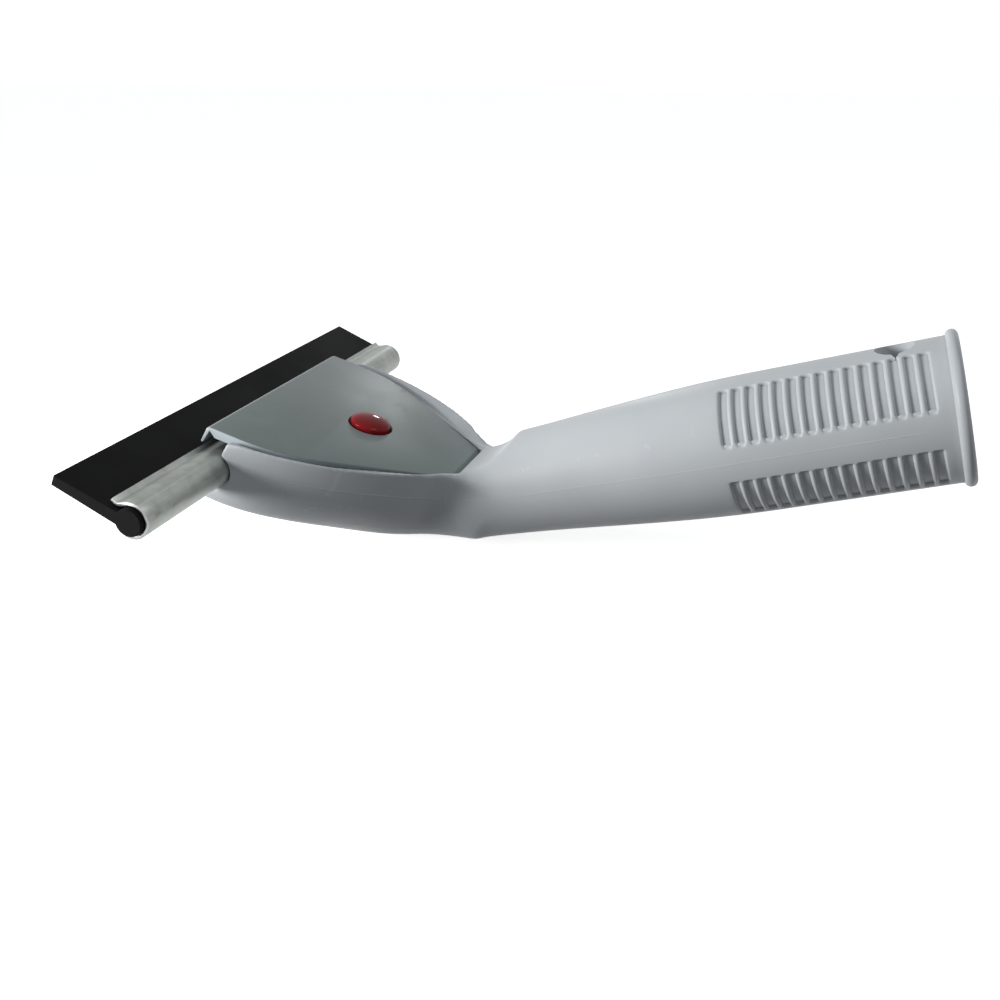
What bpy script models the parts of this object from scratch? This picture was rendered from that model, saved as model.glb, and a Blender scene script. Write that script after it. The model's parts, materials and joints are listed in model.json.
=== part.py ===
# Window squeegee with a quick release head.
#
# The head is a hollow cradle moulded in one piece with the handle. A steel
# channel with a rubber blade lies in a half-round seat along its front. A clamp
# plate rocks on a cross pin and hooks over the channel's lip, and a red button
# with a spring under it tips the plate to free the channel.
#
# Sizes are worked out in the blade frame: X along the channel, the rubber's
# edge towards -Y, the handle towards +Y, and Z square to the rubber. At the end
# everything is laid down on the flat of the belly.
import math

import bmesh
import bpy
from mathutils import Matrix, Vector

mm = 0.001

# Fits that all pieces share
fit_gap = 0.3 * mm
overrun = 6 * mm
clear_reach = 60 * mm
weld_distance = 0.01 * mm

# Steel channel
channel_length = 150 * mm
curl_radius = 4.6 * mm
sheet_thickness = 0.9 * mm
curl_start_angle = math.radians(-98)
curl_end_angle = math.radians(128)
lip_reach = 6.1 * mm
lip_flare = 0.6 * mm
lip_shares = ((0.33, 0.67), (0.57, 1.0))

# Rubber blade
rubber_overhang = 1.4 * mm
rubber_reach = 20.5 * mm
rubber_edge_thickness = 2.65 * mm
rubber_root_thickness = 3.3 * mm

# Cradle, seen from above
cradle_half_width = 40.5 * mm
side_radius = 67 * mm
side_start = -1 * mm
neck_half_width = 13.2 * mm
neck_fillet = 14 * mm
neck_end = 65.4 * mm

# Cradle, seen from the side
rim_height = 8.3 * mm
rim_slope = math.radians(10.4)
rim_edge = 1.2 * mm
edge_share = 0.29
seam_drop = 5.3 * mm
side_draft = 0.3 * mm
keel_angle = math.radians(24)
keel_start = 48 * mm
keel_depth = 8.1 * mm
keel_crown = 0.5 * mm
belly_radius = 55 * mm
front_rise = math.radians(6)
front_top = 0.8 * mm
front_lean = math.radians(7)

# Cradle sections, from a square front to a round rear
square_front = 8.0
square_rear = 2.1
square_fade = 2.8
square_length = 42 * mm

# Cradle walls
wall = 2.7 * mm
rim_width = 3.3 * mm
seat_wall = 2.4 * mm
seat_top = 4.0 * mm

# Handle, a turned form on its own slanted axis
handle_foot = 45.2 * mm
handle_angle = math.radians(40.2)
handle_reach = 142.7 * mm
barrel_radius = 17.5 * mm
neck_radius = 13.3 * mm
barrel_length = 46 * mm
taper_length = 86 * mm
nose_height = 15.7 * mm
bead_height = 1.2 * mm
bead_width = 2.4 * mm
socket_depth = 104 * mm
socket_end_radius = 10.6 * mm
hang_hole_radius = 4.8 * mm
hang_hole_place = 13 * mm

# Scoop between the plate and the handle
scoop_radius = 18 * mm
scoop_angle = math.radians(62)
scoop_length = 18 * mm

# Grip pockets
pocket_count = 15
pocket_pitch = 3.3 * mm
pocket_width = 2.1 * mm
pocket_depth = 0.7 * mm
pocket_slope = 0.35 * mm
pocket_first = 5.7 * mm
upper_panel = (math.radians(17.5), math.radians(70.5))
lower_panel = (math.radians(-56.5), math.radians(-11.7))

# Clamp plate
plate_tilt = math.radians(7.54)
plate_front = -6.5 * mm
plate_height = 8.7 * mm
plate_length = 60 * mm
plate_thickness = 2.6 * mm
plate_gap = 0.6 * mm
recess_room = 1.5 * mm
plate_corner_radius = 37 * mm
plate_taper = math.radians(33.7)
plate_taper_start = 20.8 * mm
nose_round = 1.4 * mm
tail_bevel = 2.2 * mm
tail_drop = 1.7 * mm
hook_depth = 4.8 * mm
hook_width = 0.9 * mm
notch_depth = 1.2 * mm
notch_place = 1.2 * mm
notch_end = 2.9 * mm

# Hinge of the clamp plate
hinge_place = 17 * mm
hinge_depth = 5.6 * mm
pin_radius = 1.0 * mm
ear_radius = 2.6 * mm
ear_width = 4 * mm
ear_spread = 14.5 * mm
post_width = 4 * mm
post_depth = 7 * mm
post_root_share = 0.5

# Release button
button_place = 30 * mm
button_radius = 5.8 * mm
button_clearance = 0.55 * mm
button_side = 1.0 * mm
button_dome = 1.9 * mm
head_depth = 1.6 * mm
head_chamfer = 1.1 * mm
rock_gap = 0.6 * mm
boss_radius = 8.4 * mm
boss_height = 1.7 * mm
stem_radius = 2.5 * mm
stem_clearance = 0.5 * mm
washer_radius = 5 * mm
washer_thickness = 0.6 * mm
stem_bore_clearance = 1.0 * mm

# Return spring and the cup that it stands in
spring_length = 12 * mm
spring_radius = 3.6 * mm
spring_wire = 0.6 * mm
spring_clearance = 0.6 * mm
spring_turns = 6
cup_radius = 6.4 * mm
cup_rise = 2.6 * mm
cup_floor = 3 * mm
stem_overlap = 1.8 * mm

# Facets
ring_steps = 24
turn_steps = 48
small_turn_steps = 32
cradle_stations = 11
keel_stations = 6
taper_stations = 9
corner_steps = 6
bead_steps = 6
pocket_steps = 6
scoop_steps = 8
ear_steps = 10
dome_steps = 6
spring_steps = 10
curl_steps = 20
bead_ring_steps = 22
crease_angle = math.radians(35)


# Scene and materials


def clear_scene():
    for ob in list(bpy.data.objects):
        bpy.data.objects.remove(ob, do_unlink=True)


def new_collection(name):
    collection = bpy.data.collections.new(name)
    bpy.context.scene.collection.children.link(collection)
    return collection


def material(name, colour, roughness, metallic=0.0):
    mat = bpy.data.materials.new(name)
    mat.use_nodes = True
    shader = mat.node_tree.nodes["Principled BSDF"]
    shader.inputs["Base Color"].default_value = (*colour, 1.0)
    shader.inputs["Roughness"].default_value = roughness
    shader.inputs["Metallic"].default_value = metallic
    return mat


clear_scene()
parts = new_collection("window_squeegee")
tools = new_collection("cutters")

light_plastic = material("light_grey_plastic", (0.50, 0.53, 0.55), 0.42)
plate_plastic = material("grey_green_plastic", (0.17, 0.20, 0.196), 0.40)
red_plastic = material("red_plastic", (0.172, 0.018, 0.022), 0.20)
black_rubber = material("black_rubber", (0.013, 0.013, 0.013), 0.62)
zinc_steel = material("zinc_coated_steel", (0.32, 0.34, 0.315), 0.42, 1.0)
pin_steel = material("pin_steel", (0.50, 0.50, 0.50), 0.30, 1.0)
spring_steel = material("spring_steel", (0.42, 0.42, 0.42), 0.35, 1.0)


# Frames, each an empty that its pieces hang on


def frame(name, parent, location, tilt):
    empty = bpy.data.objects.new(name, None)
    parts.objects.link(empty)
    empty.parent = parent
    empty.location = location
    empty.rotation_euler = (tilt, 0, 0)
    return empty


def plate_point(along, above):
    """The blade-frame place of a point along and above the plate's top."""
    y = plate_front + along * math.cos(plate_tilt) - above * math.sin(plate_tilt)
    z = plate_height + along * math.sin(plate_tilt) + above * math.cos(plate_tilt)
    return Vector((0, y, z))


lie = frame("rest_pose", None, (0, 0, 0), -keel_angle)
handle_frame = frame("handle_axis", lie, (0, handle_foot, 0), handle_angle - math.pi / 2)
plate_frame = frame("plate_hinge", lie, plate_point(hinge_place, -hinge_depth), plate_tilt)
button_frame = frame("button_axis", lie, plate_point(button_place, 0), plate_tilt)


# Meshes


def add_mesh(name, mesh, parent, collection, mat=None):
    ob = bpy.data.objects.new(name, mesh)
    collection.objects.link(ob)
    ob.parent = parent
    if mat:
        mesh.materials.append(mat)
    if collection is tools:
        ob.hide_render = True
        ob.display_type = "WIRE"
    return ob


def finish_mesh(bm, name):
    bmesh.ops.recalc_face_normals(bm, faces=bm.faces)
    mesh = bpy.data.meshes.new(name)
    bm.to_mesh(mesh)
    bm.free()
    return mesh


def smooth(ob):
    ob.data.shade_smooth()
    ob.data.set_sharp_from_angle(angle=crease_angle)


def loft(name, rings):
    """A closed solid through rings of as many points, with flat ends."""
    bm = bmesh.new()
    rows = [[bm.verts.new(point) for point in ring] for ring in rings]
    count = len(rows[0])
    for near, far in zip(rows, rows[1:]):
        for i in range(count):
            j = (i + 1) % count
            bm.faces.new((near[i], near[j], far[j], far[i]))
    bm.faces.new(rows[0])
    bm.faces.new(rows[-1])
    return finish_mesh(bm, name)


def prism(name, outline, low, high):
    """An outline of (x, y) points pulled from one height to another."""
    return loft(name, [[(x, y, z) for x, y in outline] for z in (low, high)])


def bar(name, outline, half_length):
    """An outline of (y, z) points pulled along X."""
    return loft(name, [[(x, y, z) for y, z in outline] for x in (-half_length, half_length)])


def block(name, low, high):
    outline = [(low[0], low[1]), (high[0], low[1]), (high[0], high[1]), (low[0], high[1])]
    return prism(name, outline, low[2], high[2])


def cylinder(name, radius, low, high, steps):
    bm = bmesh.new()
    place = Matrix.Translation((0, 0, (low + high) / 2))
    bmesh.ops.create_cone(bm, cap_ends=True, segments=steps, radius1=radius, radius2=radius,
                          depth=high - low, matrix=place)
    return finish_mesh(bm, name)


def turned(name, profile, parent, collection, mat, steps, closed=False):
    """A profile of (radius, height) points, run top to bottom, turned about Z."""
    bm = bmesh.new()
    points = [bm.verts.new((radius, 0, height)) for radius, height in profile]
    for above, below in zip(points, points[1:]):
        bm.edges.new((above, below))
    if closed:
        bm.edges.new((points[-1], points[0]))
    mesh = bpy.data.meshes.new(name)
    bm.to_mesh(mesh)
    bm.free()
    ob = add_mesh(name, mesh, parent, collection, mat)
    screw = ob.modifiers.new("turn", "SCREW")
    screw.steps = steps
    screw.render_steps = steps
    screw.use_merge_vertices = True
    screw.merge_threshold = weld_distance
    screw.use_smooth_shade = True
    return ob


def combine(target, tool, operation):
    boolean = target.modifiers.new(tool.name, "BOOLEAN")
    boolean.operation = operation
    boolean.object = tool
    return boolean


# Outline of the clamp plate and of the recess that it lies in


def plate_half_width():
    return cradle_half_width - rim_width - plate_gap


def plate_outline(margin):
    """The plate's outline as (x, along) points, grown by a margin."""
    width = plate_half_width()
    centre_x = width - plate_corner_radius
    centre_along = plate_taper_start - plate_corner_radius * math.tan(plate_taper / 2)
    radius = plate_corner_radius + margin
    half = [(width + margin, -margin)]
    for i in range(corner_steps + 1):
        angle = plate_taper * i / corner_steps
        half.append((centre_x + radius * math.cos(angle), centre_along + radius * math.sin(angle)))
    last_x, last_along = half[-1]
    tail = plate_length + margin
    half.append((last_x - (tail - last_along) * math.tan(plate_taper), tail))
    return half + [(-x, along) for x, along in reversed(half)]


# Cradle


def cradle_half_width_at(y):
    """Straight front, one long arc, then a hollow fillet into the neck."""
    if y < side_start:
        return cradle_half_width
    arc_x = cradle_half_width - side_radius
    fillet_x = neck_half_width + neck_fillet
    reach = side_radius + neck_fillet
    fillet_y = side_start + math.sqrt(reach ** 2 - (fillet_x - arc_x) ** 2)
    touch_y = side_start + (fillet_y - side_start) * side_radius / reach
    if y < touch_y:
        return arc_x + math.sqrt(side_radius ** 2 - (y - side_start) ** 2)
    if y < fillet_y:
        return fillet_x - math.sqrt(neck_fillet ** 2 - (fillet_y - y) ** 2)
    return neck_half_width


def belly_at(y):
    """Straight keel at the rear, an arc under the cradle, a gentle rise in front."""
    crown_z = -keel_depth - keel_crown
    low_y = keel_start - belly_radius * math.sin(keel_angle)
    low_z = crown_z - belly_radius * (1 - math.cos(keel_angle))
    rise_y = low_y - belly_radius * math.sin(front_rise)
    rise_z = low_z + belly_radius * (1 - math.cos(front_rise))
    if y > keel_start:
        return crown_z + (y - keel_start) * math.tan(keel_angle)
    if y > rise_y:
        return low_z + belly_radius - math.sqrt(belly_radius ** 2 - (y - low_y) ** 2)
    return rise_z + (rise_y - y) * math.tan(front_rise)


def squareness_at(y):
    share = min(max(1 - y / square_length, 0), 1)
    return square_rear + (square_front - square_rear) * share ** square_fade


def rim_at(y):
    return rim_height + y * math.tan(rim_slope)


def cradle_ring(y, inset):
    """One cross-section of the cradle, or of its hollow where inset is the wall."""
    half = cradle_half_width_at(y) - inset
    rim = rim_at(y)
    seam = rim - seam_drop
    depth = seam - belly_at(y) - inset
    power = 2 / squareness_at(y)
    ring = []
    for i in range(ring_steps + 1):
        angle = math.pi * i / ring_steps
        across = math.cos(angle)
        x = half * math.copysign(abs(across) ** power, across)
        ring.append((x, y, seam - depth * math.sin(angle) ** power))
    top = half - side_draft
    if inset:
        edge = [(-top, rim + overrun), (top, rim + overrun)]
    else:
        edge = [(-top, rim - rim_edge), (-top + rim_edge * edge_share, rim - rim_edge * edge_share),
                (-top + rim_edge, rim), (top - rim_edge, rim),
                (top - rim_edge * edge_share, rim - rim_edge * edge_share), (top, rim - rim_edge)]
    return ring + [(x, y, z) for x, z in edge]


def stations(first, last, count):
    return [first + (last - first) * i / (count - 1) for i in range(count)]


def make_cradle():
    rings = [cradle_ring(y, 0) for y in stations(-overrun, keel_start, cradle_stations)]
    rings += [cradle_ring(y, 0) for y in stations(keel_start, neck_end, keel_stations)[1:]]
    return add_mesh("handle_body", loft("handle_body", rings), lie, parts, light_plastic)


def handle_radius(from_end):
    """Radius of the handle at a distance from its open end."""
    share = min(max((from_end - barrel_length) / taper_length, 0), 1)
    return neck_radius + (barrel_radius - neck_radius) * (1 + math.cos(math.pi * share)) / 2


def make_handle():
    profile = [(0, handle_reach)]
    for i in range(bead_steps + 1):
        angle = math.pi * i / bead_steps
        out = barrel_radius + bead_height * math.sin(angle)
        profile.append((out, handle_reach - bead_width * (1 - math.cos(angle)) / 2))
    for along in stations(barrel_length, handle_reach - nose_height, taper_stations):
        profile.append((handle_radius(along), handle_reach - along))
    profile.append((0, nose_height))
    return turned("handle_form", profile, handle_frame, tools, None, turn_steps)


def make_socket():
    mouth = barrel_radius - wall
    profile = [(0, handle_reach + overrun), (mouth, handle_reach + overrun),
               (mouth - fit_gap, handle_reach - barrel_length),
               (socket_end_radius, handle_reach - socket_depth), (0, handle_reach - socket_depth)]
    socket = turned("socket_form", profile, handle_frame, tools, None, turn_steps)
    socket.rotation_euler = (0, 0, math.pi / turn_steps)
    return socket


def make_hang_hole():
    mesh = cylinder("hang_hole_form", hang_hole_radius, 0, barrel_radius + overrun, small_turn_steps)
    ob = add_mesh("hang_hole_form", mesh, handle_frame, tools)
    ob.location = (0, 0, handle_reach - hang_hole_place)
    ob.rotation_euler = (math.pi / 2, 0, 0)
    return ob


def add_pocket(bm, start, panel, side):
    """One pocket, a bent wedge from the floor of the pocket to clear of the grip."""
    floor = barrel_radius - pocket_depth
    clear = barrel_radius + pocket_depth
    rows = []
    for i in range(pocket_steps + 1):
        angle = panel[0] + (panel[1] - panel[0]) * i / pocket_steps
        row = []
        for radius, along in ((floor, start + pocket_slope), (floor, start + pocket_width - pocket_slope),
                              (clear, start + pocket_width + pocket_slope), (clear, start - pocket_slope)):
            x = side * radius * math.cos(angle)
            row.append(bm.verts.new((x, -radius * math.sin(angle), handle_reach - along)))
        rows.append(row)
    for near, far in zip(rows, rows[1:]):
        for i in range(4):
            bm.faces.new((near[i], near[(i + 1) % 4], far[(i + 1) % 4], far[i]))
    bm.faces.new(rows[0])
    bm.faces.new(rows[-1])


def make_pockets():
    bm = bmesh.new()
    for side in (-1, 1):
        for panel in (upper_panel, lower_panel):
            for i in range(pocket_count):
                add_pocket(bm, pocket_first + pocket_pitch * i, panel, side)
    return add_mesh("grip_pockets", finish_mesh(bm, "grip_pockets"), handle_frame, tools)


def plate_prism(name, margin, low, high):
    """The plate's outline, grown by a margin, between two depths under its top."""
    mesh = prism(name, plate_outline(margin), low, high)
    ob = add_mesh(name, mesh, lie, tools)
    ob.location = plate_point(0, 0)
    ob.rotation_euler = (plate_tilt, 0, 0)
    return ob


def make_hollow():
    """The cradle's inside: what lies under the plate and within the walls."""
    front = curl_radius + fit_gap + seat_wall
    rear = plate_point(plate_length, 0).y + overrun
    rings = [cradle_ring(y, wall) for y in stations(front, rear, cradle_stations)]
    hollow = add_mesh("hollow_form", loft("hollow_form", rings), lie, tools)
    combine(hollow, plate_prism("under_plate_form", fit_gap, -clear_reach, overrun), "INTERSECT")
    return hollow


def make_recess():
    """The shallow part of the recess, cut to the plate's outline."""
    return plate_prism("plate_room_form", plate_gap, -plate_thickness - recess_room, overrun)


def make_bay():
    """Room over the seat wall for the front of the plate."""
    half = plate_half_width()
    rear = curl_radius + fit_gap + seat_wall + overrun
    return add_mesh("bay_form", block("bay_form", (-half, -clear_reach, seat_top), (half, rear, clear_reach)),
                    lie, tools)


def make_scoop():
    """A hollow slope from just over the rim, behind the plate, up to the handle's top."""
    foot = plate_point(plate_length, 0)
    foot.z = rim_at(foot.y) + fit_gap
    chord = Vector((0, math.cos(scoop_angle), math.sin(scoop_angle)))
    square = Vector((0, -math.sin(scoop_angle), math.cos(scoop_angle)))
    half_sweep = math.asin(scoop_length / 2 / scoop_radius)
    centre = foot + chord * scoop_length / 2 + square * scoop_radius * math.cos(half_sweep)
    outline = []
    for i in range(scoop_steps + 1):
        turn = half_sweep * (2 * i / scoop_steps - 1)
        point = centre + (chord * math.sin(turn) - square * math.cos(turn)) * scoop_radius
        outline.append((point.y, point.z))
    front = foot.y - overrun
    outline += [(outline[-1][0], clear_reach), (front, clear_reach), (front, foot.z)]
    return add_mesh("scoop_form", bar("scoop_form", outline, barrel_radius + overrun), lie, tools)


def make_seat():
    mesh = cylinder("seat_form", curl_radius + fit_gap, -cradle_half_width - overrun,
                    cradle_half_width + overrun, turn_steps)
    ob = add_mesh("seat_form", mesh, lie, tools)
    ob.rotation_euler = (0, math.pi / 2, 0)
    return ob


def make_front_cut():
    """Trims the cradle's front to a face that leans back."""
    low = (-clear_reach, -clear_reach, -clear_reach)
    high = (clear_reach, 0, clear_reach)
    ob = add_mesh("front_form", block("front_form", low, high), lie, tools)
    ob.location = (0, front_top - rim_height * math.tan(front_lean), 0)
    ob.rotation_euler = (-front_lean, 0, 0)
    return ob


def make_keel_cut():
    """Takes the crown off the belly, which leaves the flat that the squeegee rests on."""
    low = (-clear_reach, -clear_reach, -clear_reach)
    high = (clear_reach, clear_reach, 0)
    ob = add_mesh("keel_form", block("keel_form", low, high), lie, tools)
    ob.location = (0, keel_start, -keel_depth)
    ob.rotation_euler = (keel_angle, 0, 0)
    return ob


def post_places():
    spread = ear_spread + ear_width / 2 + fit_gap + post_width / 2
    return (-spread, spread)


def make_posts():
    """Two posts that carry the cross pin, grown from the cradle's floor."""
    hinge = plate_point(hinge_place, -hinge_depth)
    root = hinge.z - belly_at(hinge.y) - wall * post_root_share
    top = hinge_depth - plate_thickness - plate_gap
    made = []
    for x in post_places():
        low = (x - post_width / 2, -post_depth / 2, -root)
        high = (x + post_width / 2, post_depth / 2, top)
        name = "post_form_left" if x < 0 else "post_form_right"
        made.append(add_mesh(name, block(name, low, high), plate_frame, tools))
    return made


def spring_top():
    """Depth of the spring's upper end under the plate's top."""
    boss_floor = plate_thickness + boss_height
    return boss_floor + rock_gap + washer_thickness + fit_gap


def cup_bottom():
    """Depth of the face that the spring stands on."""
    return spring_top() + spring_length + fit_gap


def make_cup():
    """A cup on the cradle's floor for the spring, with a hole that guides the stem."""
    low = -(cup_bottom() + cup_floor + stem_overlap)
    mesh = cylinder("cup_form", cup_radius, low, cup_rise - cup_bottom(), small_turn_steps)
    return add_mesh("cup_form", mesh, button_frame, tools)


def make_cup_bore():
    wide = spring_radius + spring_wire / 2 + spring_clearance
    narrow = stem_radius + stem_clearance
    profile = [(0, overrun - cup_bottom()), (wide, overrun - cup_bottom()), (wide, -cup_bottom()),
               (narrow, -cup_bottom()), (narrow, -cup_bottom() - cup_floor), (0, -cup_bottom() - cup_floor)]
    return turned("cup_bore_form", profile, button_frame, tools, None, small_turn_steps)


def make_pin_bore():
    half = post_places()[1] + post_width / 2 + overrun
    mesh = cylinder("pin_bore_form", pin_radius + fit_gap, -half, half, small_turn_steps)
    ob = add_mesh("pin_bore_form", mesh, plate_frame, tools)
    ob.rotation_euler = (0, math.pi / 2, 0)
    return ob


def make_handle_body():
    body = make_cradle()
    combine(body, make_handle(), "UNION")
    for cutter in (make_hollow(), make_recess(), make_bay(), make_scoop(), make_front_cut(), make_keel_cut(),
                   make_socket(), make_seat()):
        combine(body, cutter, "DIFFERENCE")
    for post in make_posts():
        combine(body, post, "UNION")
    combine(body, make_cup(), "UNION")
    for cutter in (make_cup_bore(), make_pin_bore(), make_hang_hole(), make_pockets()):
        combine(body, cutter, "DIFFERENCE")
    smooth(body)
    return body


# Clamp plate


def plate_profile():
    """Side view of the plate as (along, above) points, hook at the front."""
    return [(nose_round, 0),
            (plate_length - tail_bevel, 0),
            (plate_length, -tail_drop),
            (plate_length, -plate_thickness),
            (notch_end, -plate_thickness),
            (notch_place, -notch_depth),
            (0, -hook_depth),
            (-hook_width, -hook_depth),
            (0, -nose_round),
            (nose_round * edge_share, -nose_round * edge_share)]


def make_plate():
    to_hinge = Matrix.Translation((0, -hinge_place, hinge_depth))
    mesh = bar("clamp_plate", plate_profile(), plate_half_width() + overrun)
    mesh.transform(to_hinge)
    plate = add_mesh("clamp_plate", mesh, plate_frame, parts, plate_plastic)
    outline = prism("plate_outline_form", plate_outline(0), -hook_depth - overrun, overrun)
    outline.transform(to_hinge)
    trim = add_mesh("plate_outline_form", outline, plate_frame, tools)
    combine(plate, trim, "INTERSECT")
    for x in (-ear_spread, ear_spread):
        name = "ear_form_left" if x < 0 else "ear_form_right"
        ear = add_mesh(name, ear_mesh(name), plate_frame, tools)
        ear.location = (x, 0, 0)
        combine(plate, ear, "UNION")
    boss_low = -boss_height - plate_thickness
    boss = cylinder("boss_form", boss_radius, boss_low, -plate_thickness / 2, small_turn_steps)
    combine(plate, add_mesh("boss_form", boss, button_frame, tools), "UNION")
    combine(plate, make_button_bore(), "DIFFERENCE")
    combine(plate, make_ear_bore(), "DIFFERENCE")
    smooth(plate)
    return plate


def ear_mesh(name):
    """A lug that is round under the pin and runs up into the plate."""
    top = hinge_depth - plate_thickness / 2
    outline = [(-ear_radius, top), (ear_radius, top)]
    for i in range(ear_steps + 1):
        angle = -math.pi * i / ear_steps
        outline.append((ear_radius * math.cos(angle), ear_radius * math.sin(angle)))
    return bar(name, outline, ear_width / 2)


def make_ear_bore():
    half = ear_spread + ear_width / 2 + overrun
    mesh = cylinder("ear_bore_form", pin_radius + fit_gap, -half, half, small_turn_steps)
    ob = add_mesh("ear_bore_form", mesh, plate_frame, tools)
    ob.rotation_euler = (0, math.pi / 2, 0)
    return ob


def make_button_bore():
    """A stepped hole: wide for the button's head, narrow for its stem."""
    wide = button_radius + button_clearance
    narrow = stem_radius + stem_bore_clearance
    step = head_depth + rock_gap
    deep = plate_thickness + boss_height + overrun
    profile = [(0, overrun), (wide, overrun), (wide, -step), (narrow, -step), (narrow, -deep), (0, -deep)]
    return turned("button_bore_form", profile, button_frame, tools, None, small_turn_steps)


# Button, its washer and its spring


def make_button():
    profile = [(0, button_side + button_dome)]
    for i in range(1, dome_steps + 1):
        angle = math.pi / 2 * (1 - i / dome_steps)
        profile.append((button_radius * math.cos(angle), button_side + button_dome * math.sin(angle)))
    profile.append((button_radius, head_chamfer - head_depth))
    profile.append((button_radius - head_chamfer, -head_depth))
    profile.append((stem_radius, -head_depth))
    tip = cup_bottom() + stem_overlap
    profile.append((stem_radius, -tip))
    profile.append((0, -tip))
    return turned("release_button", profile, button_frame, parts, red_plastic, small_turn_steps)


def make_washer():
    top = -(spring_top() - fit_gap - washer_thickness)
    inner = stem_radius + fit_gap
    profile = [(inner, top), (washer_radius, top), (washer_radius, top - washer_thickness),
               (inner, top - washer_thickness)]
    return turned("retaining_washer", profile, button_frame, parts, spring_steel, small_turn_steps, closed=True)


def make_spring():
    """One tube wound round the stem."""
    count = spring_turns * spring_steps
    rise = spring_length - spring_wire
    curve = bpy.data.curves.new("return_spring", "CURVE")
    curve.dimensions = "3D"
    curve.bevel_depth = spring_wire / 2
    curve.bevel_resolution = 1
    curve.use_fill_caps = True
    spline = curve.splines.new("POLY")
    spline.points.add(count)
    low = -(spring_top() + spring_length - spring_wire / 2)
    for i, point in enumerate(spline.points):
        angle = math.tau * i / spring_steps
        x = spring_radius * math.cos(angle)
        y = spring_radius * math.sin(angle)
        point.co = (x, y, low + rise * i / count, 1)
    pitch = rise / spring_turns
    print("spring: least gap between curls", round((pitch - spring_wire) / mm, 2), "mm")
    ob = bpy.data.objects.new("return_spring", curve)
    parts.objects.link(ob)
    ob.parent = button_frame
    curve.materials.append(spring_steel)
    return ob


# Cross pin


def make_pin():
    half = post_places()[1] + post_width / 2
    pin = add_mesh("hinge_pin", cylinder("hinge_pin", pin_radius, -half, half, small_turn_steps),
                   plate_frame, parts, pin_steel)
    pin.rotation_euler = (0, math.pi / 2, 0)
    smooth(pin)
    return pin


# Channel and rubber


def channel_line():
    """The middle line of the bent sheet, from under the bead to the lip."""
    radius = curl_radius - sheet_thickness / 2
    points = []
    for i in range(curl_steps + 1):
        angle = curl_start_angle + (curl_end_angle - curl_start_angle) * i / curl_steps
        points.append((radius * math.cos(angle), radius * math.sin(angle)))
    root_y, root_z = points[-1]
    lip_z = rubber_top() + fit_gap + sheet_thickness / 2
    for along_share, down_share in lip_shares:
        y = root_y - (lip_reach + root_y) * along_share
        points.append((y, root_z + (lip_z - root_z) * down_share))
    points.append((-lip_reach, lip_z + lip_flare))
    return points


def make_channel():
    half = channel_length / 2
    bm = bmesh.new()
    rows = [[bm.verts.new((x, y, z)) for y, z in channel_line()] for x in (-half, half)]
    for i in range(len(rows[0]) - 1):
        bm.faces.new((rows[0][i], rows[0][i + 1], rows[1][i + 1], rows[1][i]))
    channel = add_mesh("blade_channel", finish_mesh(bm, "blade_channel"), lie, parts, zinc_steel)
    sheet = channel.modifiers.new("sheet", "SOLIDIFY")
    sheet.thickness = sheet_thickness
    sheet.offset = 0
    sheet.use_even_offset = True
    smooth(channel)
    return channel


def rubber_top():
    return rubber_edge_thickness / 2


def rubber_outline():
    """The blade, a little thicker at its root, and the bead that holds it."""
    bead = curl_radius - sheet_thickness - fit_gap
    top = rubber_top()
    low = top - rubber_root_thickness
    edge_low = top - rubber_edge_thickness
    top_angle = math.pi - math.asin(top / bead)
    low_angle = -math.pi - math.asin(low / bead)
    points = [(-rubber_reach, edge_low), (-rubber_reach, top)]
    for i in range(bead_ring_steps + 1):
        angle = top_angle + (low_angle - top_angle) * i / bead_ring_steps
        points.append((bead * math.cos(angle), bead * math.sin(angle)))
    return points


def make_rubber():
    mesh = bar("rubber_blade", rubber_outline(), channel_length / 2 + rubber_overhang)
    rubber = add_mesh("rubber_blade", mesh, lie, parts, black_rubber)
    smooth(rubber)
    return rubber


make_handle_body()
make_plate()
make_pin()
make_button()
make_washer()
make_spring()
make_channel()
make_rubber()


# Rest the squeegee on its keel, with the origin under the middle of its box


def world_corners(collection):
    depsgraph = bpy.context.evaluated_depsgraph_get()
    corners = []
    for ob in collection.objects:
        if ob.type != "EMPTY":
            shape = ob.evaluated_get(depsgraph)
            mesh = shape.to_mesh()
            corners += [shape.matrix_world @ vertex.co for vertex in mesh.vertices]
            shape.to_mesh_clear()
    low = Vector(min(corner[i] for corner in corners) for i in range(3))
    high = Vector(max(corner[i] for corner in corners) for i in range(3))
    return low, high


bpy.context.view_layer.update()
box_low, box_high = world_corners(parts)
lie.location = (0, -(box_low.y + box_high.y) / 2, -box_low.z)
bpy.context.view_layer.update()
print("size in mm", [round(v / mm, 1) for v in (box_high - box_low)])
for part_frame in (lie, handle_frame, plate_frame, button_frame):
    print(part_frame.name, "at", [round(v, 6) for v in part_frame.matrix_world.translation])
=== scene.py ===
# %% [markdown]
# # A window squeegee with a quick release head
#
# The real tool is a hollow grey moulding that is cradle and handle in one, a steel channel with
# a rubber blade, a clamp plate that rocks on a cross pin, and a red button that tips the plate.
# The frame that we load holds these pieces as plain CAD solids, in metres, in their places.
# A reader could paint those solids and stop, but their facets and knife edges would show.
# So we build a finer skin for each piece in the same place, and let the solids do the collision.

# %% Load the frame
import json
import math

import bmesh
import bpy
import numpy as np
from mathutils import Matrix, Vector
from mathutils.bvhtree import BVHTree


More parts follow.
